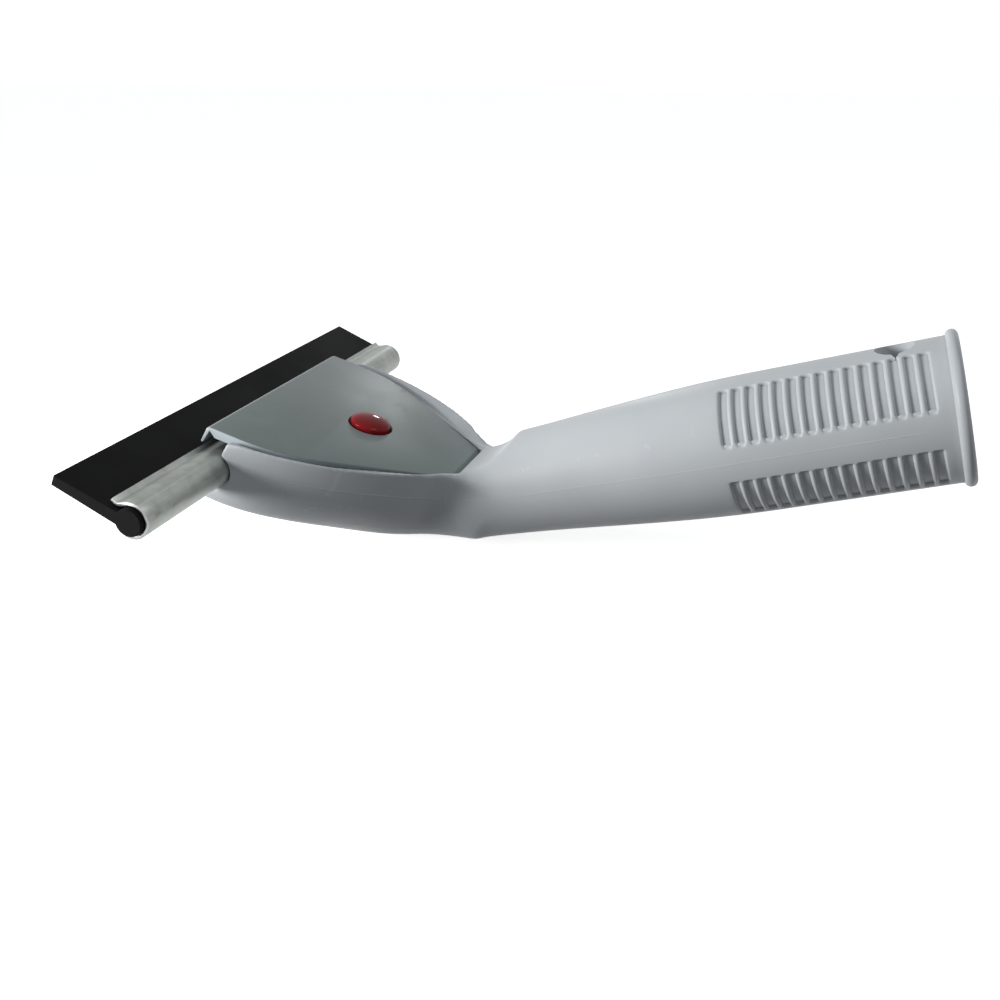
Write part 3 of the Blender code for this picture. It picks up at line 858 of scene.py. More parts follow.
# %% Rebuild the moulding's skin with tight radii
fine_voxel = 0.34 * mm
fine_rounds = 3
settle_length = 5 * mm
plane_slip = 0.002 * mm

remesh(body, fine_voxel)
relax(body, fine_rounds)
print("moulding:", len(body.data.polygons), "faces")

# %% Join the grip to the moulding


def beyond_join_mesh():
    """All of the handle beyond the place where the grip's own skin starts."""
    low, high = handle_reach - grip_join, handle_reach + overrun
    return laid(cylinder("beyond_join_form", grip_radius + overrun, low, high, turn_steps), handle_place)


def settle(ob):
    """Near the join the remeshed skin is laid exactly on the handle's radius."""
    back = handle_place.inverted()
    for vertex in ob.data.vertices:
        local = back @ vertex.co
        from_end = handle_reach - local.z
        if from_end < grip_join + settle_length:
            share = 1 - float(soft_step(from_end, grip_join, grip_join + settle_length))
            radius = math.hypot(local.x, local.y)
            if radius > grip_radius / 2:
                grow = 1 + share * (handle_radius(from_end) / radius - 1)
                vertex.co = handle_place @ Vector((local.x * grow, local.y * grow, local.z))


def join_grip(ob, skin):
    """Opens the cut end, adds the grip's skin and bridges the two rings."""
    bm = bmesh.new()
    bm.from_mesh(ob.data)
    back = handle_place.inverted()
    plane = handle_reach - grip_join
    cap = [face for face in bm.faces
           if all(abs((back @ v.co).z - plane) < plane_slip for v in face.verts)]
    bmesh.ops.delete(bm, geom=cap, context="FACES")
    bm.from_mesh(skin)
    ring = [edge for edge in bm.edges if edge.is_boundary]
    bmesh.ops.bridge_loops(bm, edges=ring)
    bmesh.ops.recalc_face_normals(bm, faces=bm.faces)
    left = count_open_edges(bm)
    bm.to_mesh(ob.data)
    bm.free()
    return left


combine(body, [beyond_join_mesh()], "DIFFERENCE")
settle(body)
print("edges left open at the join:", join_grip(body, grip_skin))

# %% Socket and hanging hole
socket_depth = 104 * mm
socket_end_radius = 10.6 * mm
hang_hole_radius = 4.6 * mm
hang_hole_place = 12.8 * mm
notch_width = 0.9 * mm
notch_reach = 1.6 * mm
mouth_lead = 0.6 * mm
hole_steps = 96


def socket_mesh():
    """The bore that takes a pole, with a lead at its mouth and a short taper."""
    mouth = grip_radius - wall
    end = handle_reach + end_stand
    profile = [(0, end + overrun), (mouth + mouth_lead + overrun, end + overrun), (mouth, end - mouth_lead),
               (mouth - fit_gap, handle_reach - grip_length),
               (socket_end_radius, handle_reach - socket_depth), (0, handle_reach - socket_depth)]
    return laid(turned("socket_form", profile, turn_steps), handle_place)


def hang_hole_mesh():
    """A round hole through the top wall, with the small notch that its core left at one side."""
    outline = []
    for angle in ring_turns(hole_steps):
        notch = max(0, 1 - abs(math.remainder(angle, math.tau)) * hang_hole_radius / notch_width)
        outline += arc((0, 0), hang_hole_radius + notch_reach * notch, [angle])
    mesh = prism("hang_hole_form", outline, 0, grip_radius + overrun)
    place = handle_place @ Matrix.Translation((0, 0, handle_reach - hang_hole_place))
    return laid(mesh, place @ Matrix.Rotation(math.pi / 2, 4, "X"))


combine(body, [socket_mesh(), hang_hole_mesh()], "DIFFERENCE")
smooth(body.data, crease_degrees=60)
body.data.transform(lie)
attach(body, "handle")
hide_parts("handle_body")
print("moulding with grip:", len(body.data.polygons), "faces")
print("socket is", round(socket_depth / mm), "mm deep")

# %% [markdown]
# ## The mould seam
#
# The two halves of the mould leave a hair-thin ridge along both flanks. It keeps a nearly even
# distance from the rim along the cradle and climbs to the middle of the handle's side. We drop
# points onto the finished skin with rays from the side and lay a thin wire half into it.

# %% Seam ridge on both flanks
seam_wire = 0.12 * mm
seam_sink = 0.06 * mm
seam_path = ((3 * mm, 3.4 * mm), (20 * mm, 6.4 * mm), (38 * mm, 9.4 * mm), (48 * mm, 10.5 * mm),
             (54 * mm, 11.3 * mm), (60 * mm, 14.3 * mm), (68 * mm, 20.2 * mm))
seam_turn = math.radians(3)
seam_on_handle = (95 * mm, 6 * mm, 8)
seam_resolution = 24
seam_sides = 6
seam_taper_rows = 6
seam_least = 0.1


def seam_line():
    """The seam as (y, z) points of the blade frame, seen from the side."""
    knots = [Vector((0, y, z)) for y, z in seam_path]
    across = handle_place.to_3x3() @ Vector((0, -1, 0))
    for from_end in spread(*seam_on_handle):
        offset = across * handle_radius(from_end) * math.sin(seam_turn)
        knots.append(handle_place @ Vector((0, 0, handle_reach - from_end)) + offset)
    curve = bpy.data.curves.new("seam_line", "CURVE")
    spline = curve.splines.new("BEZIER")
    spline.bezier_points.add(len(knots) - 1)
    for knot, place in zip(spline.bezier_points, knots):
        knot.co = place
        knot.handle_left_type = knot.handle_right_type = "AUTO"
    spline.resolution_u = seam_resolution
    line = new_object("seam_line", curve)
    graph = bpy.context.evaluated_depsgraph_get()
    drawn = bpy.data.meshes.new_from_object(line.evaluated_get(graph))
    points = [vertex.co.copy() for vertex in drawn.vertices]
    bpy.data.objects.remove(line)
    return points


def seam_mesh(side):
    """A thin six-sided wire laid half into the skin."""
    skin = body.data
    tree = BVHTree.FromPolygons([v.co for v in skin.vertices], [p.vertices[:] for p in skin.polygons])
    line = []
    for point in seam_line():
        start = lie @ (point + Vector((side * clear_reach, 0, 0)))
        place, normal, _, _ = tree.ray_cast(start, Vector((-side, 0, 0)))
        if place is not None:
            line.append((place - normal * seam_sink, normal))
    rows = []
    last = len(line) - 1
    for i, (place, normal) in enumerate(line):
        ahead = line[min(i + 1, last)][0] - line[max(i - 1, 0)][0]
        across = ahead.normalized().cross(normal)
        full = min(1, i / seam_taper_rows, (last - i) / seam_taper_rows)
        radius = seam_wire * (full * (1 - seam_least) + seam_least)
        rows.append([place + (across * math.cos(turn) + normal * math.sin(turn)) * radius
                     for turn in ring_turns(seam_sides)])
    return closed_mesh("mould_seam", rows)


seams = []
for side, name in ((1, "mould_seam_right"), (-1, "mould_seam_left")):
    seam = new_object(name, seam_mesh(side))
    seam.data.shade_smooth()
    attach(seam, "handle")
    seams.append(seam)
print("seam ridges:", [len(seam.data.polygons) for seam in seams], "faces")

# %% [markdown]
# ## The clamp plate
#
# A flat moulding with one rounded front edge, a thin hook under that edge that grips the channel's
# lip, a bevelled tail, two lugs for the cross pin and a boss round the button. Seen from
# the side it is one outline, seen from above another, and the solid is what the two share.
# That is how a band saw would cut it, and it keeps both outlines exact.

# %% Plate from two outlines
nose_round = 1.4 * mm
tail_bevel = 1.4 * mm
tail_drop = 1.4 * mm
hook_depth = 4.8 * mm
hook_width = 0.9 * mm
notch_depth = 1.2 * mm
notch_place = 1.2 * mm
notch_end = 2.9 * mm
button_radius = 5.6 * mm
button_clearance = 0.55 * mm
head_depth = 1.6 * mm
stem_bore_clearance = 1.0 * mm
plate_bevel = 0.3 * mm
bevel_segments = 3
bevel_least_turn = math.radians(35)
bore_chamfer = 0.2 * mm
nose_steps = 8
ear_steps = 33
button_steps = 128


def plate_profile():
    """Side view of the plate as (along, above) points, hook at the front."""
    nose = quarter_round((nose_round, -nose_round), nose_round, math.pi / 2, nose_steps)
    return nose + [(-hook_width, -hook_depth), (0, -hook_depth), (notch_place, -notch_depth),
                   (notch_end, -plate_thickness), (plate_length, -plate_thickness),
                   (plate_length, -tail_drop), (plate_length - tail_bevel, 0)]


def ear_mesh(x):
    """A lug that is round under the pin and runs up into the plate."""
    top = hinge_depth - plate_thickness / 2
    outline = [(-ear_radius, top), (ear_radius, top)]
    outline += arc((0, 0), ear_radius, spread(0, -math.pi, ear_steps))
    return laid(bar("ear_form", outline, x - ear_width / 2, x + ear_width / 2), hinge)


def boss_mesh():
    """The round boss under the plate, which guides the button's stem."""
    low = -boss_height - plate_thickness
    return laid(cylinder("boss_form", boss_radius, low, -plate_thickness / 2, round_steps), button_axis)


def button_bore_mesh():
    """A stepped hole: wide for the button's head, narrow for its stem."""
    wide = button_radius + button_clearance
    narrow = stem_radius + stem_bore_clearance
    step = head_depth + rock_gap
    deep = plate_thickness + boss_height + overrun
    profile = [(0, overrun), (wide + bore_chamfer + overrun, overrun), (wide, -bore_chamfer),
               (wide, -step), (narrow, -step), (narrow, -deep), (0, -deep)]
    return laid(turned("button_bore_form", profile, button_steps), button_axis)


slab_half = plate_half_width + overrun
slab = bar("clamp_plate_skin", plate_profile(), -slab_half, slab_half)
plate = new_object("clamp_plate_skin", slab, plate_matrix(0, 0))
outline_form = plate_prism("plate_outline_form", plate_growth, hook_width + fit_gap,
                           -hook_depth - overrun, overrun)
combine(plate, [outline_form], "INTERSECT")
bevel = plate.modifiers.new("round_edges", "BEVEL")
bevel.width = plate_bevel
bevel.segments = bevel_segments
bevel.limit_method = "ANGLE"
bevel.angle_limit = bevel_least_turn
bevel.use_clamp_overlap = True
apply_modifiers(plate)
combine(plate, [ear_mesh(-ear_spread), ear_mesh(ear_spread), boss_mesh()], "UNION")
combine(plate, [button_bore_mesh(), cross_bore("ear_bore_form", ear_spread + ear_width)], "DIFFERENCE")
print("edges left open on the plate:", weld(plate))
smooth(plate.data, crease_degrees=40)
plate.data.transform(lie)
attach(plate, "plate")
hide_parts("clamp_plate")
print("clamp plate:", len(plate.data.polygons), "faces")

# %% [markdown]
# ## Button, washer, pin and spring
#
# The button is a glossy red dome on a stem. A washer on the stem keeps the spring from pushing
# the button out, and a steel pin with bevelled ends is the plate's hinge. Each of these is turned
# from one profile, as on a lathe. The spring is a round wire swept along a helix of even pitch.

# %% Button and washer
button_side = 0.6 * mm
button_dome = 1.7 * mm
head_chamfer = 1.1 * mm
rim_soft = 0.25 * mm
washer_radius = 5 * mm
washer_edge = 0.12 * mm
dome_steps = 24


def smooth_round(name, profile, body_name, node, place, steps):
    """A small turned part in its place, riding on its body in place of its CAD node."""
    ob = new_object(name, turned(name, profile, steps), lie @ place)
    smooth(ob.data, crease_degrees=40)
    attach(ob, body_name)
    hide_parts(node)
    return ob


def button_profile():
    """The dome, the head's chamfered underside and the stem, down to its tip."""
    profile = [(0, button_side + button_dome)]
    for i in range(1, dome_steps + 1):
        angle = math.pi / 2 * (1 - i / dome_steps)
        profile.append((button_radius * math.cos(angle), button_side + button_dome * math.sin(angle)))
    tip = -(cup_bottom + stem_overlap)
    return profile + [(button_radius, head_chamfer - head_depth),
                      (button_radius - head_chamfer, -head_depth), (stem_radius, -head_depth),
                      (stem_radius, tip + rim_soft), (stem_radius - rim_soft, tip), (0, tip)]


def ring_mesh(name, profile, steps):
    """A closed outline of (radius, height) points turned about Z."""
    count = len(profile)
    points, faces = [], []
    for i, turn in enumerate(ring_turns(steps)):
        points += [(radius * math.cos(turn), radius * math.sin(turn), height) for radius, height in profile]
        near, far = i * count, (i + 1) % steps * count
        for k in range(count):
            after = (k + 1) % count
            faces.append((near + k, near + after, far + after, far + k))
    return outward_mesh(name, points, faces)


button = smooth_round("red_button", button_profile(), "button", "release_button",
                      button_axis, button_steps)
washer_low = fit_gap - spring_top
washer_high = washer_low + washer_thickness
inner = stem_radius + fit_gap
washer_outline = [(inner, washer_low + washer_edge), (inner, washer_high - washer_edge),
                  (inner + washer_edge, washer_high), (washer_radius - washer_edge, washer_high),
                  (washer_radius, washer_high - washer_edge), (washer_radius, washer_low + washer_edge),
                  (washer_radius - washer_edge, washer_low), (inner + washer_edge, washer_low)]
washer_mesh = ring_mesh("stem_washer", washer_outline, round_steps)
washer = new_object("stem_washer", washer_mesh, lie @ button_axis)
smooth(washer.data, crease_degrees=30)
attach(washer, "button")
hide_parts("retaining_washer")
print("button is", round(2 * button_radius / mm, 1), "mm across")

# %% Cross pin and return spring
pin_soft = 0.2 * mm
pin_steps = 64
pin_profile = [(0, pin_reach), (pin_radius - pin_soft, pin_reach), (pin_radius, pin_reach - pin_soft),
               (pin_radius, pin_soft - pin_reach), (pin_radius - pin_soft, -pin_reach), (0, -pin_reach)]
pin = smooth_round("cross_pin", pin_profile, "handle", "hinge_pin",
                   hinge @ along_x, pin_steps)

spring_turns = 6
spring_steps = 40
wire_steps = 12


def spring_mesh():
    """A round wire swept along a helix."""
    rows = []
    rise = spring_length - spring_wire
    low = -(spring_top + spring_length - spring_wire / 2)
    count = spring_turns * spring_steps
    for i in range(count + 1):
        angle = math.tau * i / spring_steps
        out = Vector((math.cos(angle), math.sin(angle), 0))
        centre = out * spring_radius + Vector((0, 0, low + rise * i / count))
        rows.append([centre + (out * math.cos(turn) + Vector((0, 0, math.sin(turn)))) * spring_wire / 2
                     for turn in ring_turns(wire_steps)])
    return closed_mesh("coil_spring", rows)


spring = new_object("coil_spring", spring_mesh(), lie @ button_axis)
spring.data.shade_smooth()
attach(spring, "handle")
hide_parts("return_spring")
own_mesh(spring)
print("spring:", len(spring.data.polygons), "faces in", spring_turns, "turns")

# %% [markdown]
# ## Channel and rubber
#
# The channel is one strip of zinc coated sheet, rolled round the rubber's bead, with a lip that
# flares off the rubber. We draw the middle line of the sheet, cut its corners until they bend
# softly, give it thickness on both sides, and pull it along X with a tiny bevel at the cut ends.
# The rubber is a bar of one outline; its working edge stays crisp, as a cut edge must.

# %% Channel of rolled sheet
channel_length = 150 * mm
sheet_thickness = 0.9 * mm
curl_start = math.radians(-98)
curl_end = math.radians(128)
curl_steps = 64
lip_reach = 6.1 * mm
lip_flare = 0.6 * mm
lip_shares = ((0.33, 0.67), (0.57, 1.0))
rubber_overhang = 1.4 * mm
rubber_reach = 20.5 * mm
rubber_edge_thickness = 2.65 * mm
rubber_root_thickness = 3.3 * mm
rubber_top = rubber_edge_thickness / 2
cut_bevel = 0.1 * mm
bend_rounds = 2
bar_rows = 40


def channel_knots():
    """The middle line of the bent sheet, from under the bead to the lip."""
    line = arc((0, 0), curl_radius - sheet_thickness / 2, spread(curl_start, curl_end, curl_steps))
    root_y, root_z = line[-1]
    lip_z = rubber_top + fit_gap + sheet_thickness / 2
    for along_share, down_share in lip_shares:
        line.append((root_y - (lip_reach + root_y) * along_share, root_z + (lip_z - root_z) * down_share))
    return line + [(-lip_reach, lip_z + lip_flare)]


def softened(line, rounds, first):
    """Corner cutting: each corner past the first index becomes two points, which rounds the bends."""
    for _ in range(rounds):
        kept = line[:first]
        for (y0, z0), (y1, z1) in zip(line[first - 1:], line[first:]):
            for near, far in ((0.75, 0.25), (0.25, 0.75)):
                kept.append((near * y0 + far * y1, near * z0 + far * z1))
        line = kept + [line[-1]]
    return line


def sheet_outline(line, half):
    """Both sides of the line, at half the thickness from it."""
    left, right = [], []
    for i, (y, z) in enumerate(line):
        y0, z0 = line[max(i - 1, 0)]
        y1, z1 = line[min(i + 1, len(line) - 1)]
        size = math.hypot(y1 - y0, z1 - z0)
        across_y, across_z = -(z1 - z0) / size, (y1 - y0) / size
        left.append((y + across_y * half, z + across_z * half))
        right.append((y - across_y * half, z - across_z * half))
    return left + right[::-1]


def pulled_with_bevel(name, outlines, half_length, bevel):
    """An outline pulled along X, slightly smaller at the ends."""
    small, full = outlines
    inner = half_length - bevel
    stations = [(-half_length, small)] + [(x, full) for x in spread(-inner, inner, bar_rows)]
    stations.append((half_length, small))
    return closed_mesh(name, [[(x, y, z) for y, z in outline] for x, outline in stations])


sheet_line = softened(channel_knots(), bend_rounds, curl_steps)
half_sheet = sheet_thickness / 2
outlines = (sheet_outline(sheet_line, half_sheet - cut_bevel), sheet_outline(sheet_line, half_sheet))
channel_mesh = pulled_with_bevel("rolled_channel", outlines, channel_length / 2, cut_bevel)
channel = new_object("rolled_channel", channel_mesh, lie)
smooth(channel.data, crease_degrees=50)
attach(channel, "channel")
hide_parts("blade_channel")
print("channel:", len(channel.data.polygons), "faces,", round(channel_length / mm), "mm long")

# %% Rubber blade
bead_ring_steps = 60
top_steps = 12
rubber_bevel = 0.12 * mm


def rubber_outline(inset):
    """The blade, a little thicker at its root, and the bead that holds it."""
    bead = curl_radius - sheet_thickness - fit_gap - inset
    top = rubber_top - inset
    low = rubber_top - rubber_root_thickness + inset
    edge_low = rubber_top - rubber_edge_thickness + inset
    front = inset - rubber_reach
    top_angle = math.pi - math.asin(top / bead)
    low_angle = -math.pi - math.asin(low / bead)
    points = [(front, edge_low), (front, top)]
    points += [(along, top) for along in spread(front, bead * math.cos(top_angle), top_steps)[1:-1]]
    return points + arc((0, 0), bead, spread(top_angle, low_angle, bead_ring_steps))


rubber_half = channel_length / 2 + rubber_overhang
rubber_mesh = pulled_with_bevel("rubber_strip", (rubber_outline(rubber_bevel), rubber_outline(0)),
                                rubber_half, rubber_bevel)
rubber = new_object("rubber_strip", rubber_mesh, lie)
smooth(rubber.data, crease_degrees=40)
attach(rubber, "rubber")
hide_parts("rubber_blade")
print("rubber:", len(rubber.data.polygons), "faces")

# %% [markdown]
# ## Shared effects
#
# Several finishes need the same small effects: a fine moulded grain, scratches from handling,
# dust, and a painted highlight on convex edges with painted shade in hollows. Each is one shader
# node group with named inputs and outputs, placed in each material with its own values. The
# patterns are three-dimensional and use the piece's own coordinates in metres, so a scale of 1000
# gives features about a millimetre apart, and a pattern stays with its piece when the piece moves.

# %% A helper for node groups


def new_group(name, inputs, outputs):
    """An empty node group with named float inputs and outputs."""
    group = bpy.data.node_groups.new(name, "ShaderNodeTree")
    for label, value in inputs:
        socket = group.interface.new_socket(label, in_out="INPUT", socket_type="NodeSocketFloat")
        socket.default_value = value
    for label in outputs:
        group.interface.new_socket(label, in_out="OUTPUT", socket_type="NodeSocketFloat")
    return group, group.nodes.new("NodeGroupInput"), group.nodes.new("NodeGroupOutput")


node_columns = 12
node_width, node_height = 180, 220


class Wiring:
    """Short words for adding and joining nodes in one tree."""

    def __init__(self, tree):
        self.tree = tree
        self.made = 0

    def node(self, kind, values=(), **settings):
        """A new node, laid out in rows, with its settings and the values of its sockets."""
        node = self.tree.nodes.new(kind)
        self.made += 1
        row, column = divmod(self.made, node_columns)
        node.location = (node_width * column, -node_height * row)
        for key, value in settings.items():
            setattr(node, key, value)
        for key, value in values:
            self.feed(node.inputs[key], value)
        return node

    def feed(self, socket, value):
        """Links another node's output to the socket, or sets a plain value on it."""
        if isinstance(value, bpy.types.NodeSocket):
            self.tree.links.new(value, socket)
        else:
            socket.default_value = value

    def object_place(self):
        """The shaded point in its piece's own coordinates, in metres."""
        return self.node("ShaderNodeTexCoord").outputs["Object"]

    def facing(self, axis):
        """How far the shaded face looks along an axis, from -1 to 1."""
        normal = self.node("ShaderNodeNewGeometry").outputs["Normal"]
        return self.node("ShaderNodeSeparateXYZ", (("Vector", normal),)).outputs[axis]

    def cut_end(self, low, high):
        """1 on faces that look along the channel either way: sawn and sheared ends, and the clamp plate's
        sides, where a highlight is painted.
        """
        return self.between(self.math("ABSOLUTE", self.facing("X")), low, high)

    def red_part(self, colour):
        return self.node("ShaderNodeSeparateColor", (("Color", colour),)).outputs[0]

    def math(self, operation, first, second=0.0, third=0.0, clamp=False):
        values = ((0, first), (1, second), (2, third))
        return self.node("ShaderNodeMath", values, operation=operation, use_clamp=clamp).outputs[0]

    def between(self, value, low, high, out_low=0.0, out_high=1.0):
        """Value from low to high, remapped and held within the new range."""
        values = (("Value", value), ("From Min", low), ("From Max", high),
                  ("To Min", out_low), ("To Max", out_high))
        return self.node("ShaderNodeMapRange", values, clamp=True).outputs["Result"]

    def noise(self, vector, scale, detail=2.0, roughness=0.5):
        values = (("Vector", vector), ("Scale", scale), ("Detail", detail), ("Roughness", roughness))
        return self.node("ShaderNodeTexNoise", values).outputs["Fac"]

    def stretched(self, vector, scale, turn=(0, 0, 0)):
        values = (("Vector", vector), ("Rotation", turn), ("Scale", scale))
        return self.node("ShaderNodeMapping", values).outputs["Vector"]

    def mix(self, share, first, second):
        node = self.node("ShaderNodeMix", data_type="RGBA")
        self.feed(node.inputs["Factor"], share)
        self.feed(node.inputs[6], first)
        self.feed(node.inputs[7], second)
        return node.outputs[2]

    def tint(self, colour, mask, amount, other):
        """The colour, moved by an amount towards another where the mask shows."""
        return self.mix(self.math("MULTIPLY", mask, amount), colour, other)


print("node helpers are ready")

# %% Group: moulded grain


def make_grain():
    """Fine spark-eroded grain of a mould, over slow waves where the plastic sank as it cooled."""
    group, given, result = new_group("moulded_grain", (("Grain Scale", 3200), ("Wave Scale", 60)),
                                     ("Height", "Tone"))
    w = Wiring(group)
    place = w.object_place()
    grain = w.noise(place, given.outputs["Grain Scale"], 3, 0.6)
    wave = w.noise(place, given.outputs["Wave Scale"], 1.5, 0.4)
    w.feed(result.inputs["Height"], w.math("MULTIPLY_ADD", wave, 2.5, grain))
    waves = w.math("MULTIPLY", wave, 0.7)
    w.feed(result.inputs["Tone"], w.math("ADD", waves, w.math("MULTIPLY", grain, 0.3)))
    return group


grain_group = make_grain()
print("group", grain_group.name, "has", len(grain_group.nodes), "nodes")

# %% Group: handling scratches


def make_scratches():
    """Thin broken lines in two directions, from years in a bucket with other tools."""
    group, given, result = new_group("handling_scratches", (("Amount", 0.5), ("Scale", 90)), ("Mask",))
    w = Wiring(group)
    place = w.object_place()
    masks = []
    for turn, stretch in (((0.2, 0.1, 0.5), (12, 1, 14)), ((0.6, 0.3, -0.7), (1, 15, 12))):
        line = w.noise(w.stretched(place, stretch, turn), given.outputs["Scale"], 1, 0.4)
        thin = w.between(w.math("ABSOLUTE", w.math("SUBTRACT", line, 0.5)), 0.0, 0.012, 1.0, 0.0)
        patch = w.between(w.noise(place, 70 + 20 * len(masks), 1), 0.52, 0.68)
        masks.append(w.math("MULTIPLY", thin, patch))
    both = w.math("MAXIMUM", masks[0], masks[1])
    w.feed(result.inputs["Mask"], w.math("MULTIPLY", both, given.outputs["Amount"], clamp=True))
    return group


scratch_group = make_scratches()
print("group", scratch_group.name, "has", len(scratch_group.nodes), "nodes")

# %% Group: dust specks


def make_dust():
    """A few pale specks and a thin film that is a little thicker on faces that look up."""
    group, given, result = new_group("dust", (("Specks", 0.5), ("Film", 0.1)), ("Mask",))
    w = Wiring(group)
    place = w.object_place()
    cells = w.node("ShaderNodeTexVoronoi", (("Vector", place), ("Scale", 330), ("Randomness", 1.0)))
    speck = w.between(cells.outputs["Distance"], 0.03, 0.07, 1.0, 0.0)
    rare = w.between(w.red_part(cells.outputs["Color"]), 0.965, 0.97)
    specks = w.math("MULTIPLY", w.math("MULTIPLY", speck, rare), given.outputs["Specks"])
    cloud = w.between(w.noise(place, 140, 4, 0.7), 0.35, 0.75)
    film = w.math("MULTIPLY", w.between(w.facing("Z"), 0.2, 1.0), cloud)
    w.feed(result.inputs["Mask"], w.math("MULTIPLY_ADD", film, given.outputs["Film"], specks, clamp=True))
    return group


dust_group = make_dust()
print("group", dust_group.name, "has", len(dust_group.nodes), "nodes")

# %% Group: painted edge highlight and hollow shade


def make_edge_light_and_shade():
    """Painted highlight where the skin is convex, broken up by noise, and painted shade where it is hollow.
    """
    group, given, result = new_group("painted_edge_highlight_and_hollow_shade", (("Break Up", 0.5),), ("Edge Highlight", "Hollow Shade"))
    w = Wiring(group)
    geometry = w.node("ShaderNodeNewGeometry")
    place = w.object_place()
    edge_light_noise = w.math("SUBTRACT", w.noise(place, 500, 3, 0.6), 0.5)
    uneven_edge_light = w.math("MULTIPLY", edge_light_noise, given.outputs["Break Up"])
    curve = geometry.outputs["Pointiness"]
    # Painted highlight on convex skin and painted shade in hollows, both from its curvature.
    edge = w.between(curve, 0.52, 0.60)
    w.feed(result.inputs["Edge Highlight"], w.math("MULTIPLY", edge, w.math("ADD", uneven_edge_light, 0.8), clamp=True))
    w.feed(result.inputs["Hollow Shade"], w.between(curve, 0.48, 0.40))
    return group


edge_light_group = make_edge_light_and_shade()
print("group", edge_light_group.name, "has", len(edge_light_group.nodes), "nodes")

# %% [markdown]
# ## Finishes
#
# Each finish starts from the colour that the real piece has in even light. The groups then move
# it a little: convex edges get a painted highlight, hollows get painted shade, dust is pale and
# dull, and scratches are rough. The eye reads these small changes as plastic, steel or rubber. The
# three plastics differ only in their values, so one recipe makes them all. Constants, such as how
# strongly a plastic mirrors, sit on the shader itself.

# %% Helpers for finishes
tone_range = (0.3, 0.7)


def new_finish(name, settings):
    """A material with a Principled shader whose plain values are set on its own sockets."""
    finish = bpy.data.materials.new(name)
    finish.use_nodes = True
    shader = finish.node_tree.nodes["Principled BSDF"]
    for label, value in settings:
        shader.inputs[label].default_value = value
    return finish, Wiring(finish.node_tree), shader


def placed(w, group, values=()):
    """An effect's node in this material, with its own values."""
    node = w.node("ShaderNodeGroup", node_tree=group)
    for label, value in values:
        node.inputs[label].default_value = value
    return node


def bump(w, shader, height, strength, distance):
    node = w.node("ShaderNodeBump", (("Height", height), ("Strength", strength), ("Distance", distance)))
    w.feed(shader.inputs["Normal"], node.outputs["Normal"])


def dress(ob, finish):
    ob.data.materials.clear()
    ob.data.materials.append(finish)


def make_plastic(name, specular, ior, grain, scratches, dust, painted_edges, cut, tones, tints,
                 rough, scratch_rough, scratch_height, relief, depth):
    """A moulded plastic: a grainy tone, tints laid on one after another, and rough scratches."""
    finish, w, shader = new_finish(name, (("Specular IOR Level", specular), ("IOR", ior)))
    grain = placed(w, grain_group, grain).outputs
    scratches = placed(w, scratch_group, scratches).outputs["Mask"]
    masks = {"scratches": scratches, "dust": placed(w, dust_group, dust).outputs["Mask"]}
    # Masks for a painted highlight on convex edges and painted shade in hollows.
    if painted_edges:
        edges = placed(w, edge_light_group).outputs
        masks.update({"hollow": edges["Hollow Shade"], "edge": edges["Edge Highlight"]})
    # The cut mask marks faces that look along X; on the clamp plate it carries a painted highlight on its
    # sides.
    if cut:
        masks["cut"] = w.cut_end(*cut)
    colour = w.mix(w.between(grain["Tone"], *tone_range), *tones)
    for mask, amount, other in tints:
        colour = w.tint(colour, masks[mask], amount, other)
    w.feed(shader.inputs["Base Color"], colour)
    gloss = w.between(grain["Tone"], *tone_range, *rough)
    w.feed(shader.inputs["Roughness"], w.math("MULTIPLY_ADD", scratches, scratch_rough, gloss, clamp=True))
    height = w.math("MULTIPLY_ADD", scratches, scratch_height, grain["Height"])
    bump(w, shader, height, relief, depth)
    return finish


print("finish helpers are ready")

# %% Light grey plastic of cradle and handle
# The hollow tint is painted shade and the edge tint a painted highlight.
light_plastic = make_plastic(
    "light_grey_plastic", specular=0.22, ior=1.49, grain=(), scratches=(("Amount", 0.12),),
    dust=(("Specks", 0.18), ("Film", 0.06)), painted_edges=True, cut=None,
    tones=((0.455, 0.485, 0.512, 1), (0.49, 0.52, 0.545, 1)),
    tints=(("hollow", 0.35, (0.28, 0.30, 0.32, 1)), ("edge", 0.35, (0.62, 0.65, 0.68, 1)),
           ("scratches", 0.1, (0.60, 0.62, 0.64, 1)), ("dust", 1.0, (0.66, 0.65, 0.62, 1))),
    rough=(0.36, 0.46), scratch_rough=0.2, scratch_height=-0.15, relief=0.25, depth=0.00004)
for ob in [body] + seams:
    dress(ob, light_plastic)
print("finish", light_plastic.name, "on", 1 + len(seams), "pieces")

# %% Grey-green plastic of the clamp plate
# The edge tint is a painted highlight, and the pale bluish cut tint a painted highlight on the plate's side
# faces.
plate_plastic = make_plastic(
    "grey_green_plastic", specular=0.22, ior=1.49, grain=(("Grain Scale", 2600),),
    scratches=(("Amount", 0.8), ("Scale", 60)), dust=(("Specks", 0.9), ("Film", 0.06)),
    painted_edges=True, cut=(0.75, 0.95), tones=((0.198, 0.236, 0.232, 1), (0.222, 0.262, 0.255, 1)),
    tints=(("edge", 0.5, (0.36, 0.42, 0.44, 1)), ("cut", 0.8, (0.47, 0.53, 0.57, 1)),
           ("scratches", 0.25, (0.30, 0.33, 0.33, 1)), ("dust", 1.0, (0.55, 0.55, 0.52, 1))),
    rough=(0.34, 0.46), scratch_rough=0.2, scratch_height=-0.5, relief=0.3, depth=0.00004)
dress(plate, plate_plastic)
print("finish", plate_plastic.name, "on the clamp plate")

